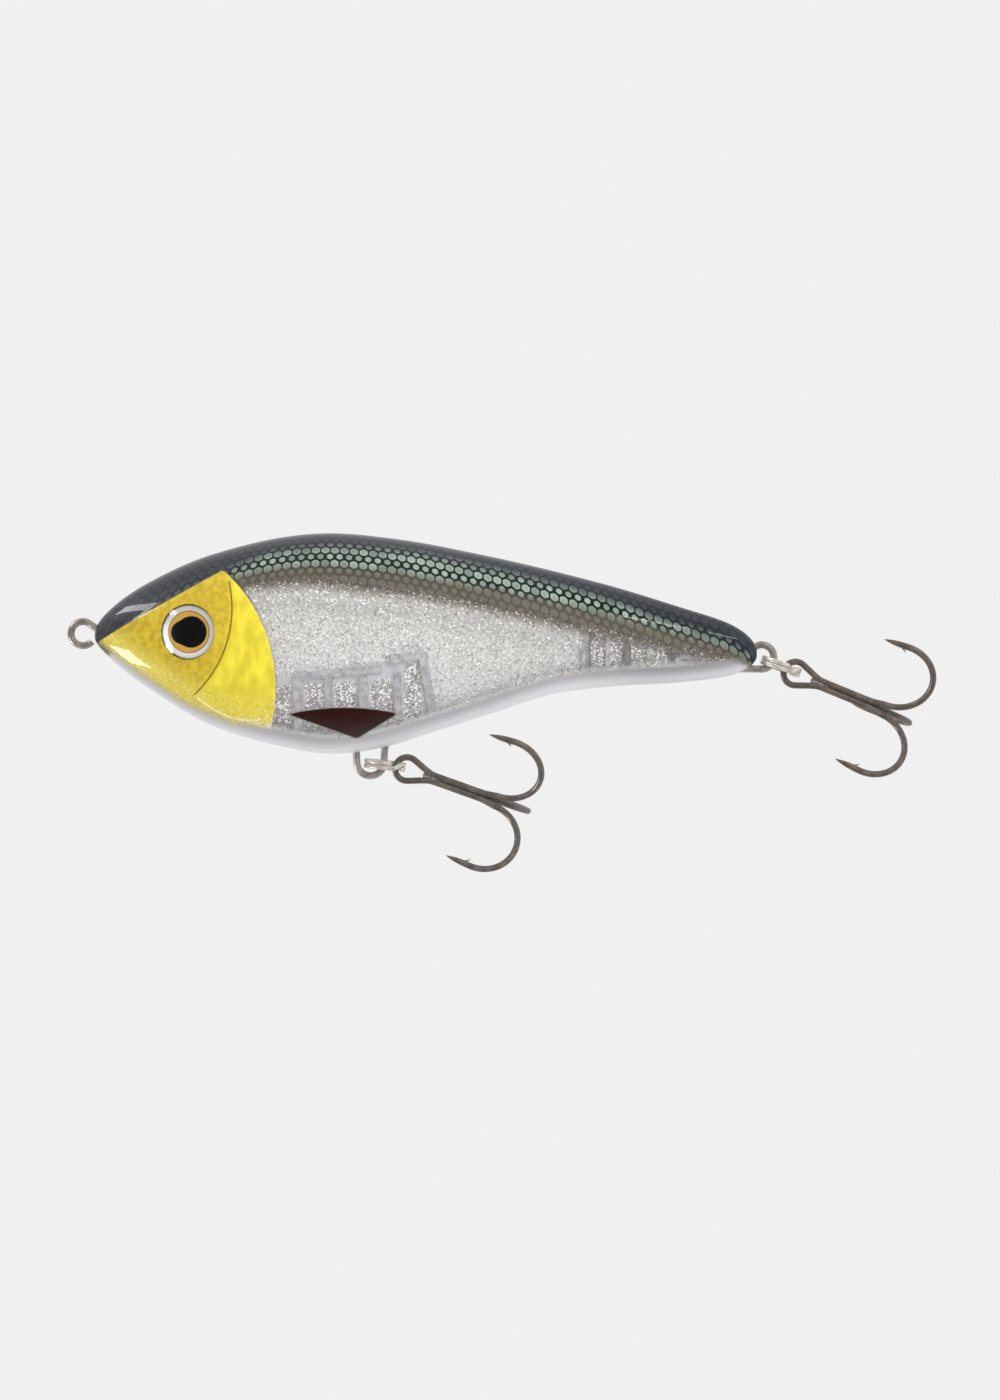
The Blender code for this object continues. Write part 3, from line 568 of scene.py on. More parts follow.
def fin_mark(x, z):
    """The signed distance inside the dark mark where a belly fin would be."""
    (x0, z0), (x1, z1), (x2, z2) = FIN_TOP
    share = np.clip((x - x0) / (x2 - x0), 0, 1)
    bulge = z1 - (z0 + z2) / 2
    top = z0 + (z2 - z0) * share + bulge * 4 * share * (1 - share)
    front = above_segment(x, z, (FIN_TOP[0], FIN_APEX))
    rear = above_segment(x, z, (FIN_APEX, FIN_TOP[2]))
    return np.minimum(top - z, np.minimum(front, rear))


def ridge(distance, width):
    """A rounded ridge's height, 1 at its middle."""
    return np.exp(-((distance / width) ** 2))


def relief(x, z):
    """How far the moulded head stands proud of the plain body, in millimetres."""
    low = z - depth_line(CHEEK_LOW, x) + 1.0
    plate = smooth_step(np.minimum(cheek(x, z), low), -CHEEK_EDGE, CHEEK_EDGE)
    lip = ridge(cheek(x, z) - LIP_WIDTH, LIP_WIDTH) * smooth_step(x, *LIP_STARTS)
    off_gill, past_gill = gill(x, z)
    groove = ridge(off_gill, GROOVE_WIDTH) * smooth_step(past_gill, *GROOVE_ENDS)
    jaw = ridge(along_path(x, z, JAW_LINE), JAW_WIDTH)
    return CHEEK_RISE * plate + LIP_RISE * lip - GROOVE_DEPTH * groove + JAW_RISE * jaw


def skin_grid(stations, steps):
    """x, y and z of half a body's surface, rows from nose to tail and columns from back to belly."""
    turns = np.linspace(SKIN_FIRST_TURN, math.pi - SKIN_FIRST_TURN, stations)
    x = NOSE_X + BODY_LENGTH * (1 - np.cos(turns)) / 2
    angles = np.linspace(0, math.pi, steps + 1)
    rows = [section_points(station, angles) for station in x]
    y = np.array([row[0] for row in rows])
    z = np.array([row[1] for row in rows])
    return np.repeat(x[:, None], steps + 1, axis=1), y, z


def with_relief(x, y, z):
    """The grid moved along its own normals by the moulded relief."""
    grid = np.stack((x, y, z), axis=2)
    normal = np.cross(np.gradient(grid, axis=0), np.gradient(grid, axis=1))
    normal /= np.maximum(np.linalg.norm(normal, axis=2, keepdims=True), 1e-9)
    outward = np.where(np.sum(normal[:, :, 1]) > 0, 1.0, -1.0)
    amount = relief(x, z) * smooth_step(y, 0.5, 2.5)
    grid += normal * outward * amount[:, :, None]
    return grid


def half_skin_mesh(name, side):
    """A closed half of the body: its painted outside, and a flat face beside the seam."""
    grid = with_relief(*skin_grid(SKIN_STATIONS, SKIN_STEPS))
    grid[:, :, 1] = np.maximum(grid[:, :, 1], SEAM_HALF_GAP)
    for edge, down in ((0, -1), (-1, 1)):
        grid[:, edge, 2] += down * SEAM_DIP
    grid[:, :, 1] *= side
    grid *= MM
    stations, columns = grid.shape[:2]
    bm = bmesh.new()
    verts = [[bm.verts.new(point) for point in row] for row in grid]
    for i in range(stations - 1):
        for j in range(columns - 1):
            bm.faces.new((verts[i][j], verts[i + 1][j], verts[i + 1][j + 1], verts[i][j + 1]))
    bm.faces.new(verts[0])
    bm.faces.new(verts[-1])
    bm.faces.new([row[0] for row in verts] + [row[-1] for row in verts[::-1]])
    bmesh.ops.recalc_face_normals(bm, faces=bm.faces)
    return mesh_of(name, bm)


def eye_place(side):
    """The middle of a socket's floor, with Z pointing out of the head."""
    turn = Matrix.Rotation(side * FISH_EYE_TURN, 4, "Z")
    out = Matrix.Rotation(-side * math.pi / 2, 4, "X")
    centre = (FISH_EYE_CENTRE[0] * MM, side * SOCKET_FLOOR_Y * MM, FISH_EYE_CENTRE[1] * MM)
    return Matrix.Translation(centre) @ turn @ out


def apply_modifiers(obj):
    """The object's mesh as its modifiers leave it."""
    bpy.context.view_layer.update()
    graph = bpy.context.evaluated_depsgraph_get()
    mesh = bpy.data.meshes.new_from_object(obj.evaluated_get(graph))
    obj.modifiers.clear()
    obj.data = mesh


def cut_socket(skin, side):
    """Sinks a round eye socket into the head. Its wall and floor take the skin's second material."""
    bm = bmesh.new()
    size = {"depth": SOCKET_DEPTH * MM, "radius1": SOCKET_RADIUS * MM, "radius2": SOCKET_RADIUS * MM}
    bmesh.ops.create_cone(bm, cap_ends=True, segments=ROUND_SEGMENTS, **size)
    bmesh.ops.translate(bm, verts=bm.verts, vec=(0, 0, size["depth"] / 2))
    for face in bm.faces:
        face.material_index = 1
    cutter = add_object("socket_cutter", mesh_of("socket_cutter", bm))
    cutter.matrix_world = eye_place(side)
    modifier = skin.modifiers.new("Socket", "BOOLEAN")
    modifier.operation = "DIFFERENCE"
    modifier.object = cutter
    apply_modifiers(skin)
    bpy.data.objects.remove(cutter)


def arc_from_ridge(x, z):
    """The distance round the section from the back's ridge to a height."""
    top, bottom, half_width = body_lines(x)
    middle = bottom + WIDEST_AT * (top - bottom)
    reach = np.where(z > middle, top - middle, middle - bottom)
    share = np.clip((z - middle) / reach, -1, 1)
    end = np.arccos(np.sign(share) * np.abs(share) ** (SECTION_POWER / 2))
    length = np.zeros_like(x)
    last = None
    for k in range(ARC_SAMPLES + 1):
        point = section_points(x, end * k / ARC_SAMPLES)
        if last is not None:
            length += np.hypot(point[0] - last[0], point[1] - last[1])
        last = point
    return length


def depth_line(line, x):
    return np.interp(x, [point[0] for point in line], [point[1] for point in line])


def body_fields(x, z):
    """Where each paint zone's edge lies, as signed distances in millimetres."""
    top, bottom, _ = body_lines(x)
    below_back = top - z
    return {
        "below_slate": below_back - depth_line(SLATE_DEPTH, x),
        "below_scales": below_back - depth_line(SCALES_DEPTH, x),
        "below_fade": below_back - depth_line(FADE_DEPTH, x),
        "above_belly": z - bottom,
        "cheek": cheek(x, z),
        "cheek_low": z - depth_line(CHEEK_LOW, x),
        "off_gill": gill(x, z)[0],
        "past_gill": gill(x, z)[1],
        "jaw": along_path(x, z, JAW_LINE),
        "fin_mark": fin_mark(x, z),
        "rib_zone": np.maximum(rib_zone(x, z), x - MAIN_GLITTER_REAR),
        "along": x,
        "around": arc_from_ridge(x, z),
    }


def store_fields(mesh, fields):
    for name, values in fields.items():
        layer = mesh.attributes.new(name, "FLOAT", "POINT")
        layer.data.foreach_set("value", np.asarray(values, np.float32))


def mesh_xz(mesh):
    """Each point's x and z in millimetres."""
    points = np.empty(len(mesh.vertices) * 3, np.float32)
    mesh.vertices.foreach_get("co", points)
    points = points.reshape(-1, 3).astype(float) / MM
    return points[:, 0], points[:, 2]


def body_skin(word, side, materials):
    name = f"body_skin_{word}"
    skin = add_object(name, half_skin_mesh(name, side), materials)
    cut_socket(skin, side)
    store_fields(skin.data, body_fields(*mesh_xz(skin.data)))
    skin.data.shade_smooth()
    skin.data.set_sharp_from_angle(angle=math.radians(SMOOTH_UNDER))
    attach(skin, "lure_body")
    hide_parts(f"body_shell_{word}")


def scale_cells(paint):
    """Rows of six-sided scales: the share out from a scale's middle, 0.5 at its edge, and its chance."""
    along = paint.math("DIVIDE", paint.attribute("along"), SCALE_PITCH)
    around = paint.math("DIVIDE", paint.attribute("around"), SCALE_PITCH)
    place = paint.join(along, around)
    half = (0.5, HEXAGON, 0.5)
    minus = tuple(-value for value in half)
    first = paint.vector("WRAP", place, half, minus)
    second = paint.vector("WRAP", paint.vector("SUBTRACT", place, half), half, minus)
    nearer = paint.math("LESS_THAN", paint.vector("LENGTH", first), paint.vector("LENGTH", second))
    local = add_node(paint.tree, "Mix", {0: nearer, 4: second, 5: first}, data_type="VECTOR").outputs[1]
    x, y, _ = paint.split(paint.vector("ABSOLUTE", local))
    hexagon = paint.either(x, paint.plus(paint.times(x, 0.5), paint.times(y, HEXAGON)))
    circle = paint.vector("LENGTH", local)
    shape = paint.plus(paint.times(hexagon, 1 - SCALE_ROUND), paint.times(circle, SCALE_ROUND))
    middle = paint.vector("ADD", paint.vector("SUBTRACT", place, local), (0.01, 0.01, 0.01))
    cell = paint.vector("SNAP", middle, (0.05, 0.05, 0.05))
    return shape, add_node(paint.tree, "TexWhiteNoise", {"Vector": cell}).outputs["Value"]


def flank_paint(paint, clouds, flakes):
    """Silver glitter, browner towards the back and paler low down as painted light, over a lilac band and
    a pearl belly.
    """
    mottle, fine = clouds
    bright, dark = flakes
    below_fade = paint.attribute("below_fade")
    brown = paint.ramp(below_fade, *BROWN_EDGE)
    silver = paint.mix(mottle, *SILVER)
    # Painted light: the silver grows paler towards the belly, as if lit from below.
    silver = paint.mix(paint.ramp(below_fade, *LOW_LIGHT_PAINT_EDGE, 0.0, LOW_LIGHT_PAINT_SHARE), silver, SILVER_PAINTED_LOW_LIGHT)
    silver = paint.mix(brown, silver, paint.mix(fine, *BROWN))
    silver = paint.mix(bright, silver, paint.mix(brown, *BRIGHT_FLAKE))
    silver = paint.mix(dark, silver, paint.mix(brown, *DARK_FLAKE))
    above_belly = paint.attribute("above_belly")
    pearl = paint.ramp(above_belly, *PEARL_EDGE)
    tail = paint.ramp(paint.attribute("along"), *TAIL_EDGE, 0.0, TAIL_SHARE)
    underside = paint.mix(tail, paint.mix(pearl, *BELLY), paint.mix(pearl, *TAIL_BELLY))
    return paint.mix(paint.ramp(above_belly, *BELLY_EDGE), silver, underside)


def back_paint(paint, shape, chance, edge):
    """A slate ridge, then mint scales with dark edges, then olive scales."""
    mint = paint.mix(chance, *MINT)
    mint = paint.mix(paint.ramp(shape, *SCALE_CUP), paint.mix(0.35, mint, MINT_DEEP), mint)
    mint = paint.mix(edge, mint, MINT_EDGE)
    slate = paint.mix(paint.times(edge, 0.6), *SLATE)
    olive = paint.mix(paint.times(edge, 0.55), *OLIVE)
    band = paint.mix(paint.ramp(paint.attribute("below_slate"), *SLATE_EDGE), slate, mint)
    return paint.mix(paint.ramp(paint.attribute("below_scales"), *OLIVE_EDGE), band, olive)


def cheek_paint(paint, place, mottle, flake):
    """Golden in front of the gill line, bright yellow behind it and sparkling lower down, with painted
    shade in the gill groove and a painted highlight along the jaw.
    """
    low, off_gill = paint.attribute("cheek_low"), paint.attribute("off_gill")
    foil = paint.noise(paint.vector("MULTIPLY", place, (0.5, 0.5, 0.25)), 1.0, 4.0)
    golden = paint.mix(paint.ramp(mottle, *CLOUD_EDGE), *GOLDEN)
    behind_gill = paint.mix(paint.ramp(foil, *CLOUD_EDGE), *YELLOW)
    golden = paint.mix(paint.ramp(off_gill, *GILL_SHADE_EDGE), golden, behind_gill)
    golden = paint.mix(paint.ramp(low, *LOW_CHEEK_EDGE), golden, LOW_YELLOW)
    lively = paint.ramp(low, *LIVELY_EDGE)
    # The gill line is painted shade along the moulded groove.
    line = paint.ramp(paint.math("ABSOLUTE", off_gill), *GILL_LINE_EDGE)
    line = paint.times(line, paint.ramp(paint.attribute("past_gill"), *GILL_END_EDGE))
    layers = (  # where it lies, how much it covers, colour
        (paint.times(paint.ramp(flake[0], *SPARKLES), lively), 0.7, SPARKLE),
        (paint.times(paint.ramp(flake[1], *SPECKS), lively), 0.45, SPECK),
        (line, 0.85, GILL_GROOVE_SHADE),
        # painted highlight along the raised jaw edge
        (paint.ramp(paint.attribute("jaw"), *JAW_LINE_EDGE), 0.6, JAW_RIDGE_HIGHLIGHT),
    )
    for where, cover, colour in layers:
        golden = paint.mix(paint.times(where, cover), golden, colour)
    return golden


def cheek_rim_shade(paint, cheek_edge, low):
    """Painted shade: the thin dark line round the raised cheek's edge, which fades out lower down."""
    rim = paint.ramp(paint.math("ABSOLUTE", paint.plus(cheek_edge, RIM_OFFSET)), *RIM_EDGE)
    return paint.times(paint.times(rim, paint.ramp(low, *RIM_ABOVE)), 0.6)


def cover(paint, below_back, painted, flakes):
    """How opaque the skin is. The flank is clear enough to show the glittered core and the ribs."""
    divided = paint.ramp(paint.attribute("rib_zone"), -0.5, 0.5)
    near_back = paint.times(paint.ramp(below_back, *WINDOW_TOP_DIVIDED), divided)
    window = paint.either(paint.ramp(below_back, *WINDOW_TOP), near_back)
    window = paint.times(window, paint.ramp(paint.attribute("above_belly"), *WINDOW_LOW))
    window = paint.times(window, paint.without(painted))
    glints = paint.times(paint.times(paint.either(*flakes), GLINT_COVER), paint.without(divided))
    return paint.without(paint.times(window, paint.without(paint.plus(WINDOW_HAZE, glints))))


def painted_skin():
    """Clear plastic, painted over the back, cheeks and belly, with glitter showing in the flanks."""
    paint = Paint("painted_clear_plastic")
    place = paint.place()
    mottle = paint.noise(place, 0.9, 3.0)
    fine = paint.noise(place, 5.0)
    flake = paint.flakes(place, 3.6)
    flakes = (paint.ramp(flake[0], *BRIGHT_FLAKES), paint.ramp(flake[1], *DARK_FLAKES))
    shape, chance = scale_cells(paint)
    edge = paint.ramp(shape, *SCALE_EDGE)
    below_back = paint.ragged(paint.attribute("below_fade"), fine, FADE_RAGGED)
    cheek_edge, low = paint.attribute("cheek"), paint.attribute("cheek_low")
    on_cheek = paint.ramp(cheek_edge, *CHEEK_PAINT_EDGE)
    fin = paint.ramp(paint.attribute("fin_mark"), *FIN_EDGE)

    colour = flank_paint(paint, (mottle, fine), flakes)
    colour = paint.mix(paint.ramp(below_back, *FADE_EDGE), colour, back_paint(paint, shape, chance, edge))
    # Painted shade along the raised cheek's edge.
    colour = paint.mix(cheek_rim_shade(paint, cheek_edge, low), colour, CHEEK_RIM_SHADE)
    yellow = paint.times(on_cheek, paint.ramp(low, *CHEEK_LOW_EDGE))
    colour = paint.mix(yellow, colour, cheek_paint(paint, place, mottle, flake))
    colour = paint.mix(fin, colour, paint.mix(mottle, *FIN_RED))
    return paint.surface(
        Base_Color=colour,
        Roughness=paint.ramp(fine, 0.0, 1.0, 0.32, 0.44),
        Specular_IOR_Level=0.15,
        Alpha=cover(paint, below_back, paint.either(on_cheek, fin), flakes),
        Normal=paint.bump(paint.times(edge, -1.0), SCALE_GROOVE * MM, SCALE_GROOVE_STRENGTH),
        Coat_Weight=0.5,
        Coat_Roughness=0.03,
    )


# The eye socket's wall and floor are painted dark brown as shadow in the recess.
def socket_wall():
    paint = Paint("socket_shadow")
    shade = paint.noise(paint.place(), 1.5)
    return paint.surface(Base_Color=paint.mix(shade, *SOCKET_SHADOW_BROWN), Roughness=0.45)


# Inside the body


def core_stations():
    """x of the glittered core's sections, closer together at its ends."""
    turns = np.linspace(0, math.pi, CORE_STATIONS)
    return CORE_SPAN[0] + (CORE_SPAN[1] - CORE_SPAN[0]) * (1 - np.cos(turns)) / 2


def rib_zone(x, z):
    """The signed distance inside the lower compartment that the moulded ribs divide."""
    before_wall, over_shelf = above_segment(x, z, REAR_WALL_LINE), above_segment(x, z, SHELF_LINE)
    return np.minimum.reduce([x - RIB_ZONE_FRONT, before_wall, -over_shelf])


def glitter_patch(x, z):
    """The signed distance inside the glitter, which leaves the moulded walls and ribs bare."""
    _, bottom, _ = body_lines(x)
    above = z - bottom - GLITTER_ABOVE_BELLY
    main = np.minimum(np.minimum(above, MAIN_GLITTER_REAR - x), -rib_zone(x, z))
    patches = [inside_box(x, z, box) for box in GLITTER_CELLS]
    arches = np.full(np.shape(x), -9.0)
    for (front, rear), top, _ in ARCHES:
        radius = (rear - front) / 2
        dome = inside_circle(x, z, (((front + rear) / 2, top - radius), radius))
        column = inside_box(x, z, (front, rear, ARCH_FLOOR, top - radius))
        arches = np.maximum(arches, np.maximum(dome, column))
    return np.maximum.reduce([main, arches] + patches)


def glitter_core(material):
    """The reflector inside the clear shell, a smooth closed form a wall's thickness in."""
    angles = np.linspace(0, math.pi, CORE_STEPS + 1)
    bm = bmesh.new()
    loops = []
    for x in core_stations():
        y, z = section_points(x, angles, CORE_INSET)
        half = list(zip(y, z))
        around = half + [(-across, up) for across, up in half[-2:0:-1]]
        loops.append([bm.verts.new((x * MM, across * MM, up * MM)) for across, up in around])
    skin_over(bm, loops)
    core = finished("glitter_core", bm, material)
    x, z = mesh_xz(core.data)
    fields = body_fields(x, z)
    kept = {"below_fade": fields["below_fade"], "coarse": fields["rib_zone"]}
    store_fields(core.data, {**kept, "patch": glitter_patch(x, z)})
    ride_body(core, "painted_clear_shell")


def skin_over(bm, loops):
    """Faces between loops of points, and over the first and the last loop."""
    count = len(loops[0])
    for loop, following in zip(loops, loops[1:]):
        for i in range(count):
            j = (i + 1) % count
            bm.faces.new((loop[i], loop[j], following[j], following[i]))
    bm.faces.new(loops[0])
    bm.faces.new(loops[-1])


def finished(name, bm, *materials, sharp=SMOOTH_UNDER):
    """A smooth-shaded object from a bmesh, with its faces turned outwards."""
    bmesh.ops.recalc_face_normals(bm, faces=bm.faces)
    mesh = mesh_of(name, bm)
    mesh.shade_smooth()
    mesh.set_sharp_from_angle(angle=math.radians(sharp))
    return add_object(name, mesh, materials)


def ride_body(piece, slot, *nodes, body="lure_body"):
    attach(piece, body)
    if nodes:
        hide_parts(*nodes)


def resampled(points):
    """Points at an even spacing along straight runs."""
    line = []
    for (x0, z0), (x1, z1) in zip(points, points[1:]):
        count = max(1, math.ceil(math.hypot(x1 - x0, z1 - z0) / BAR_SPACING))
        line += [(x0 + (x1 - x0) * k / count, z0 + (z1 - z0) * k / count) for k in range(count)]
    return line + [points[-1]]


def within_body(x, z):
    """A height kept far enough from the back and the belly for a bar to fit."""
    top, bottom, _ = body_lines(x)
    return float(np.clip(z, bottom + RIB_CLEARANCE, top - RIB_CLEARANCE))


def add_rib(bm, points, thickness):
    """A moulded bar on both flanks, between the core and the inside of the clear shell."""
    line = [(x, within_body(x, z)) for x, z in resampled(points)]
    for side in SIDES.values():
        loops = []
        for i, (x, z) in enumerate(line):
            before, after = line[max(i - 1, 0)], line[min(i + 1, len(line) - 1)]
            way = Vector((after[0] - before[0], after[1] - before[1])).normalized()
            loop = []
            for half, inset in ((1, 0), (1, 1), (-1, 1), (-1, 0)):
                corner_x = x - way.y * half * thickness / 2
                corner_z = z + way.x * half * thickness / 2
                depth = RIB_INSETS[inset]
                y = float(half_width_at(corner_x, corner_z)) - depth
                loop.append(bm.verts.new((corner_x * MM, side * y * MM, corner_z * MM)))
            loops.append(loop)
        skin_over(bm, loops)


def arch_points(span, top, thickness):
    """The line of an arched pocket's wall: up, round and down."""
    front, rear = span[0] - thickness / 2, span[1] + thickness / 2
    radius = (rear - front) / 2
    middle = (front + rear) / 2
    spring = top - radius + thickness / 2
    turn = np.linspace(math.pi, 0, ARCH_TURNS)
    arch = [(middle + radius * math.cos(a), spring + radius * math.sin(a)) for a in turn]
    return [(front, ARCH_FLOOR)] + arch + [(rear, ARCH_FLOOR)]


def moulded_ribs(pale, dark):
    walls = bmesh.new()
    for points, thickness in RIBS + POCKET_FRAMES:
        add_rib(walls, points, thickness)
    ride_body(finished("moulded_ribs", walls, pale), "painted_clear_shell")
    # The arches take the darker plastic: painted shade along the arched pocket walls.
    arches = bmesh.new()
    for span, top, thickness in ARCHES:
        add_rib(arches, arch_points(span, top, thickness), thickness)
    ride_body(finished("rattle_arches", arches, dark), "painted_clear_shell")


# Fish eyes


def lathe(name, profile, segments, *materials):
    """A closed turned form about Z. The profile runs from the axis to the axis, in millimetres."""
    bm = bmesh.new()
    rings = []
    for radius, height in profile:
        turn = [2 * math.pi * i / segments for i in range(segments if radius else 1)]
        places = [(radius * math.cos(a) * MM, radius * math.sin(a) * MM, height * MM) for a in turn]
        rings.append([bm.verts.new(place) for place in places])
    for ring, following in zip(rings, rings[1:]):
        for i in range(segments):
            j = (i + 1) % segments
            around = ((ring, i), (ring, j), (following, j), (following, i))
            corners = [loop[k % len(loop)] for loop, k in around]
            bm.faces.new(list(dict.fromkeys(corners)))
    return finished(name, bm, *materials)


def eye_foil(word, side, material):
    """A dished foil disc. Its fields give each point's place on the eye, ahead and up."""
    radii = [FOIL_RADIUS * k / FOIL_RINGS for k in range(FOIL_RINGS + 1)]
    profile = [(r, FOIL_RISE + FOIL_STEP * smooth_step(r, GOLD_RADIUS, SILVER_RADIUS)) for r in radii]
    profile += [(FOIL_RADIUS, FOIL_UNDERSIDE), (0, FOIL_UNDERSIDE)]
    foil = lathe(f"eye_disc_{word}", profile, ROUND_SEGMENTS, material)
    points = np.array([vertex.co for vertex in foil.data.vertices]) / MM
    store_fields(foil.data, {"ahead": points[:, 0], "up": points[:, 1] * -side})
    foil.matrix_world = eye_place(side)
    ride_body(foil, "eye_foil", f"eye_foil_{word}")


def eye_dome(word, side, material):
    """A thick lens with a domed front, which stands a little proud of its socket."""
    sphere = (DOME_RADIUS**2 + DOME_RISE**2) / (2 * DOME_RISE)
    reach = math.asin(DOME_RADIUS / sphere)
    top = DOME_RIM + DOME_RISE
    turn = [reach * i / DOME_STEPS for i in range(1, DOME_STEPS + 1)]
    cap = [(0, top)] + [(sphere * math.sin(a), top + sphere * (math.cos(a) - 1)) for a in turn]
    edge = [
        (DOME_RADIUS - DOME_BEVEL[0], DOME_RIM - DOME_BEVEL[1]),
        (DOME_RADIUS - DOME_FOOT[0], DOME_FOOT[1]),
        (0, DOME_FOOT[1]),
    ]
    dome = lathe(f"eye_lens_{word}", cap + edge, ROUND_SEGMENTS, material)
    dome.matrix_world = eye_place(side) @ Matrix.Translation((0, 0, DOME_LIFT * MM))
    ride_body(dome, "clear_dome", f"eye_dome_{word}")


def foil_paint():
    """Black pupil, gold iris and silver rim, drawn by distance from the eye's middle, with a painted
    shadow ring at the foil's edge.
    """
    paint = Paint("eye_foil")
    place = paint.join(paint.attribute("ahead"), paint.attribute("up"))
    radius = paint.vector("LENGTH", place)
    lobes = []
    for ahead, up, size in PUPIL_LOBES:
        offset = paint.vector("SUBTRACT", place, (ahead, up, 0.0))
        lobes.append(paint.math("SUBTRACT", paint.vector("LENGTH", offset), size))
    pupil = paint.math("SMOOTH_MIN", *lobes, 0.5)
    grain = paint.noise(place, 3.0)
    off_gold = paint.math("ABSOLUTE", paint.math("SUBTRACT", radius, GOLD_RADIUS))
    outline = paint.times(paint.ramp(off_gold, 0.16, 0.04), 0.75)
    silver = paint.mix(grain, *FOIL_SILVER)
    silver = paint.mix(paint.ramp(radius, SILVER_RADIUS - 0.3, SILVER_RADIUS), silver, FOIL_SILVER_RIM)
    gold = paint.mix(grain, *FOIL_GOLD)
    colour = paint.mix(paint.ramp(radius, GOLD_RADIUS - 0.04, GOLD_RADIUS + 0.08), gold, silver)
    colour = paint.mix(outline, colour, FOIL_OUTLINE)
    # Painted shadow: a dark ring at the foil's edge, next to the socket wall.
    rim = paint.ramp(radius, SILVER_RADIUS - 0.02, SILVER_RADIUS + 0.1)
    colour = paint.mix(rim, colour, FOIL_EDGE_SHADOW)
    colour = paint.mix(paint.ramp(pupil, 0.06, -0.06), colour, PUPIL_BLACK)
    roughness = paint.ramp(grain, 0.0, 1.0, 0.25, 0.4)
    return paint.surface(Base_Color=colour, Metallic=0.1, Specular_IOR_Level=0.1, Roughness=roughness)


def lens_clear():
    paint = Paint("clear_lens")
    roughness = paint.ramp(paint.noise(paint.place(), 2.0), 0.0, 1.0, 0.0, 0.03)
    return paint.surface(Base_Color=CLEAR, Roughness=roughness, Transmission_Weight=1.0, IOR=1.45)


# Wire


def arc(centre, radius, start, end, steps=None):
    """Points round a circle from one angle to another, counted from +X towards +Z."""
    steps = steps or max(2, round(abs(end - start) / ARC_STEP))
    turn = np.linspace(start, end, steps + 1)
    return [(centre[0] + radius * math.cos(a), centre[1] + radius * math.sin(a)) for a in turn]


def in_seam(points):
    return [(x, 0.0, z) for x, z in points]


def eased(points, radii, rounds=2):
    """A path with its corners cut, so that it bends smoothly."""
    values = np.array([(*point, radius) for point, radius in zip(points, radii)])
    for _ in range(rounds):
        near = values[:-1] * 0.75 + values[1:] * 0.25
        far = values[:-1] * 0.25 + values[1:] * 0.75
        middle = np.stack((near, far), axis=1).reshape(-1, 4)
        values = np.concatenate((values[:1], middle, values[-1:]))
    return values


def wire(name, points, diameter, material, radii=None):
    """A round wire along its points, with closed ends."""
    curve = bpy.data.curves.new(name, "CURVE")
    curve.dimensions = "3D"
    curve.bevel_depth = diameter / 2 * MM
    curve.bevel_resolution = WIRE_SIDES
    curve.use_fill_caps = True
    values = eased(points, radii or [1] * len(points))
    spline = curve.splines.new("POLY")
    spline.points.add(len(values) - 1)
    for point, (x, y, z, radius) in zip(spline.points, values):
        point.co = (x * MM, y * MM, z * MM, 1)
        point.radius = radius
    spline.use_smooth = True
    return add_object(name, curve, (material,))


def nose_eye_path():
    foot = [(10.6, -2.6), (10.6, -0.9), (10.2, -0.2), (9.4, 0.1), (4.6, 0.1), (3.4, 0.35), (2.6, 0.85)]
    return in_seam(foot + arc((0, 0), NOSE_EYE_RADIUS, math.radians(42), math.radians(318)))


def tail_eye_path():
    foot = [(108.0, -4.0), (108.3, -4.8), (109.2, -5.2), (113.8, -5.9), (118.5, -6.4)]
    return in_seam(foot + arc(TAIL_EYE_CENTRE, TAIL_EYE_RADIUS, math.radians(-102), math.radians(190)))


def belly_hanger_path():
    half = [(6.6, -18.8), (4.6, -18.8), (3.3, -19.2), (2.6, -20.1)]
    front = [(HANGER_CENTRE[0] - x, z) for x, z in half]
    rear = [(HANGER_CENTRE[0] + x, z) for x, z in half[::-1]]
    return in_seam(front + arc(HANGER_CENTRE, HANGER_RADIUS, math.pi, 2 * math.pi) + rear)


def wire_eyes(material):
    paths = {"nose_eye": nose_eye_path, "tail_eye": tail_eye_path, "belly_hanger": belly_hanger_path}
    for node, path in paths.items():
        ride_body(wire(f"{node}_wire", path(), EYE_WIRE, material), "stainless_wire", node)


# Split rings


def ring_section():
    """The flattened wire's section, a rounded rectangle of (across, up)."""
    across, up = RING_WIRE_DEPTH / 2 - RING_CORNER, RING_WIRE_THICKNESS / 2 - RING_CORNER
    section = []
    for corner, (side, level) in enumerate(((1, 1), (-1, 1), (-1, -1), (1, -1))):
        for share in np.linspace(0, 1, RING_CORNER_POINTS):
            turn = (corner + share) * math.pi / 2
            rounding = RING_CORNER * math.cos(turn), RING_CORNER * math.sin(turn)
            section.append((side * across + rounding[0], level * up + rounding[1]))
    return section


def split_ring(word, pivot, material):
    """Nearly two turns of flattened wire that step past their own ends."""
    radius = (RING_OUTSIDE - RING_WIRE_DEPTH) / 2
    half_layer = (RING_WIRE_THICKNESS + RING_LAYER_GAP) / 2
    section = ring_section()
    bm = bmesh.new()
    loops = []
    for turn in np.linspace(0, RING_TURN, RING_POINTS):
        share = np.clip((turn - RING_STEP_START) / RING_STEP, 0, 1)
        level = -half_layer * math.cos(math.pi * share)
        angle = RING_START + turn
        loop = []
        for across, up in section:
            reach = radius + across
            point = (radius + reach * math.cos(angle), reach * math.sin(angle), level + up)
            loop.append(bm.verts.new(Vector(point) * MM))
        loops.append(loop)
    skin_over(bm, loops)
    ring = finished(f"{word}_ring_coil", bm, material, sharp=RING_SHARP)
    ring.matrix_world = Matrix.Translation(pivot) @ Matrix.Rotation(RING_DIPS[word], 4, "Y")
    ride_body(ring, "split_ring_steel", f"{word}_split_ring", body=f"{word}_ring")


# Treble hooks


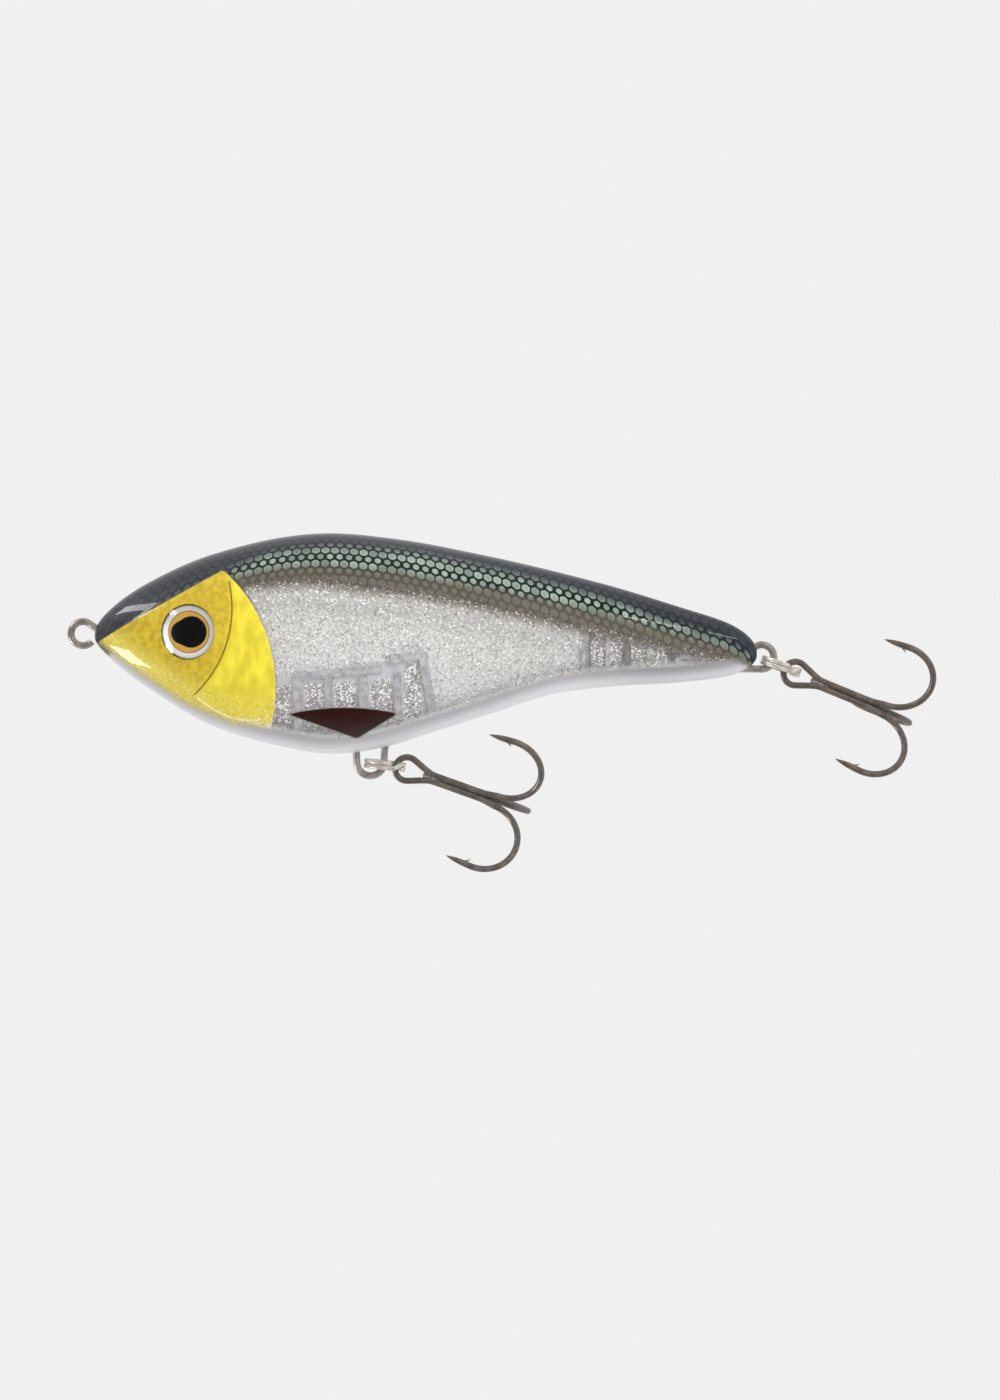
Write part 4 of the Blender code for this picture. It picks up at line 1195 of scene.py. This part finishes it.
def hook_leg():
    """One hook from its tip to the start of its shank: (length, distance from the bundle, thickness)."""
    point = [(*point_at(share * POINT_LENGTH), thickness) for share, thickness in POINT_TAPER]
    bend = arc(BEND_CENTRE, BEND_RADIUS, math.pi / 2 + POINT_LEAN, -math.pi / 2, steps=BEND_STEPS)
    gap = bend[-1][1] - LEG_RADIUS
    run = BEND_CENTRE[0] - LEG_LEAVES
    leaving = [(LEG_LEAVES + run * share, LEG_RADIUS + gap * share**2) for share in LEAVING]
    shank = [(stop, LEG_RADIUS) for stop in SHANK_STOPS]
    return point + [(length, reach, 1) for length, reach in bend + leaving + shank]


def point_at(distance, drop=0.0):
    """A place on the straight point, at a distance beyond the bend and a drop towards the shank."""
    turn = math.pi / 2 + POINT_LEAN
    x = BEND_CENTRE[0] + BEND_RADIUS * math.cos(turn) - distance * math.cos(POINT_LEAN)
    reach = BEND_CENTRE[1] + BEND_RADIUS * math.sin(turn) - distance * math.sin(POINT_LEAN)
    return x, reach - drop


def around_bundle(length, reach, angle):
    """A place on a leg turned about the bundle. The angle is 0 straight up and grows away from -Y."""
    return (length, LEG_RADIUS / 2 + reach * math.sin(angle), reach * math.cos(angle))


def eye_loop():
    """The teardrop eye, from the upper leg round the outer end to the lower leg."""
    neck = Vector((HOOK_NECK - HOOK_EYE_RADIUS, LEG_RADIUS * math.cos(math.pi / 6)))
    tangent = math.atan2(neck.y, neck.x) + math.acos(HOOK_EYE_RADIUS / neck.length)
    loop = arc((HOOK_EYE_RADIUS, 0), HOOK_EYE_RADIUS, tangent, 2 * math.pi - tangent)
    rounding = [(HOOK_NECK + beyond, neck.y + out) for beyond, out in NECK_ROUNDING]
    return rounding + loop + [(x, -z) for x, z in rounding[::-1]]


def add_barb(word, number, angle, place, material):
    """A sliver cut up from the point, with its own tip towards the bend."""
    points = [around_bundle(*point_at(distance, drop), angle) for distance, drop, _ in BARB_LINE]
    radii = [thickness for _, _, thickness in BARB_LINE]
    barb = wire(f"{word}_hook_barb_{number}", points, BARB_WIRE, material, radii)
    barb.matrix_world = place
    ride_body(barb, "dark_hook_wire", body=f"{word}_hook")


def add_solder(word, place, material):
    """The drawn-out bead that joins a treble's three shanks."""
    bead = lathe(f"{word}_hook_solder", SOLDER_PROFILE, SOLDER_SEGMENTS, material)
    squash = Matrix.Diagonal((1.0, SOLDER_SQUASH, 1.0, 1.0))
    middle = Matrix.Translation((SOLDER_AT * MM, LEG_RADIUS / 2 * MM, 0))
    bead.data.transform(middle @ Matrix.Rotation(math.pi / 2, 4, "Y") @ squash)
    bead.matrix_world = place
    ride_body(bead, "dark_hook_wire", body=f"{word}_hook")


def treble(word, pivot, hook_metal, solder_metal):
    """A double hook bent from one wire round its eye, a third hook, and the solder that joins them."""
    dip, roll = HOOK_TURNS[word]
    place = Matrix.Translation(pivot) @ Matrix.Rotation(dip, 4, "Y") @ Matrix.Rotation(roll, 4, "X")
    leg = hook_leg()
    thickness = [value for _, _, value in leg]
    upper, lower = DOUBLE_ANGLES
    far = THIRD_ANGLES[word]
    legs = {angle: [around_bundle(x, r, angle) for x, r, _ in leg] for angle in (upper, lower, far)}
    loop = in_seam(eye_loop())
    paths = {
        "double": (legs[upper] + loop + legs[lower][::-1], thickness + [1] * len(loop) + thickness[::-1]),
        "third": (legs[far], thickness),
    }
    for kind, (path, radii) in paths.items():
        hook = wire(f"{word}_hook_{kind}", path, HOOK_WIRE, hook_metal, radii)
        hook.matrix_world = place
        ride_body(hook, "dark_hook_wire", f"{word}_treble_{kind}", body=f"{word}_hook")
    for number, angle in enumerate(legs, 1):
        add_barb(word, number, angle, place, hook_metal)
    add_solder(word, place, solder_metal)


def core_glitter():
    """Silver flakes on pale plastic, bare and lilac-grey where the walls and ribs are."""
    paint = Paint("inner_glitter")
    place = paint.place()
    fine = paint.noise(place, 4.0)
    wide = paint.noise(place, 0.7)
    flake = paint.flakes(place, 3.4)
    coarse = paint.attribute("coarse")
    showing = paint.ramp(coarse, -0.3, 0.3, 0.45, 1.0)
    silver = paint.mix(paint.ramp(coarse, -0.3, 0.3), paint.mix(wide, *CORE_SILVER), CORE_COARSE)
    bright = paint.times(paint.ramp(flake[0], *CORE_BRIGHT_FLAKES), showing)
    dark = paint.times(paint.ramp(flake[1], *CORE_DARK_FLAKES), showing)
    silver = paint.mix(dark, paint.mix(bright, silver, CORE_BRIGHT), CORE_DARK)
    inside = paint.ramp(paint.ragged(paint.attribute("patch"), fine, PATCH_RAGGED), -0.12, 0.12)
    colour = paint.mix(inside, paint.mix(wide, *BARE_PLASTIC), silver)
    colour = paint.mix(paint.ramp(paint.attribute("below_fade"), 2.0, -1.5), colour, CORE_BROWN)
    return paint.surface(
        Base_Color=colour,
        Roughness=paint.ramp(wide, 0.0, 1.0, 0.35, 0.5),
        Specular_IOR_Level=0.2,
        Normal=paint.bump(flake[2], 0.05 * MM, 0.4),
    )


def rib_plastic(name, colours):
    paint = Paint(name)
    haze = paint.noise(paint.place(), 0.8, 3.0)
    colour = paint.mix(paint.ramp(haze, *CLOUD_EDGE), *colours)
    return paint.surface(Base_Color=colour, Roughness=paint.ramp(haze, 0.0, 1.0, 0.25, 0.45))


def worn_metal(name, colours, roughness, metallic, scale):
    """Bare metal with soft cloudy tarnish."""
    paint = Paint(name)
    cloud = paint.noise(paint.place(), scale, 3.0)
    return paint.surface(
        Base_Color=paint.mix(paint.ramp(cloud, *CLOUD_EDGE), *colours),
        Metallic=metallic,
        Roughness=paint.ramp(cloud, 0.2, 0.8, roughness - 0.06, roughness + 0.08),
    )


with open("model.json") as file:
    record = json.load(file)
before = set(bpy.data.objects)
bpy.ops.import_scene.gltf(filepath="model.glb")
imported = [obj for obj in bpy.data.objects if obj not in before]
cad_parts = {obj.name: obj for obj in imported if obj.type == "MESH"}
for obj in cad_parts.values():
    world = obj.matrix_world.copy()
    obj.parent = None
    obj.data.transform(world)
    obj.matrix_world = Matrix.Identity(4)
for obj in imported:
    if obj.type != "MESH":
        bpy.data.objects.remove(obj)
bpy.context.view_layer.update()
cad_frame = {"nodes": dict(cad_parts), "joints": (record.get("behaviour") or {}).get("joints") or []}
main_view()

skin_materials = (painted_skin(), socket_wall())
foil_material, lens_material = foil_paint(), lens_clear()
for side_word, side_sign in SIDES.items():
    body_skin(side_word, side_sign, skin_materials)
    eye_foil(side_word, side_sign, foil_material)
    eye_dome(side_word, side_sign, lens_material)
glitter_core(core_glitter())
moulded_ribs(rib_plastic("rib_plastic", RIB_PLASTIC), rib_plastic("arch_shade_plastic", ARCH_SHADE_PLASTIC))

metals = {name: worn_metal(name, *settings) for name, settings in METALS.items()}
wire_eyes(metals["stainless_wire"])
pivots = {joint["name"]: Vector(joint["pos_m"]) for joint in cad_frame["joints"] if "pos_m" in joint}
for end in RING_DIPS:
    split_ring(end, pivots[f"{end}_ring_swing"], metals["split_ring_steel"])
    treble(end, pivots[f"{end}_hook_yaw"], metals[f"{end}_hook_wire"], metals["hook_solder"])

for node_name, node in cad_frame["nodes"].items():
    if node_name.startswith(("ballast_bar", "rattle_ball")):
        node.data.materials.clear()
        node.data.materials.append(metals["ballast_steel"])
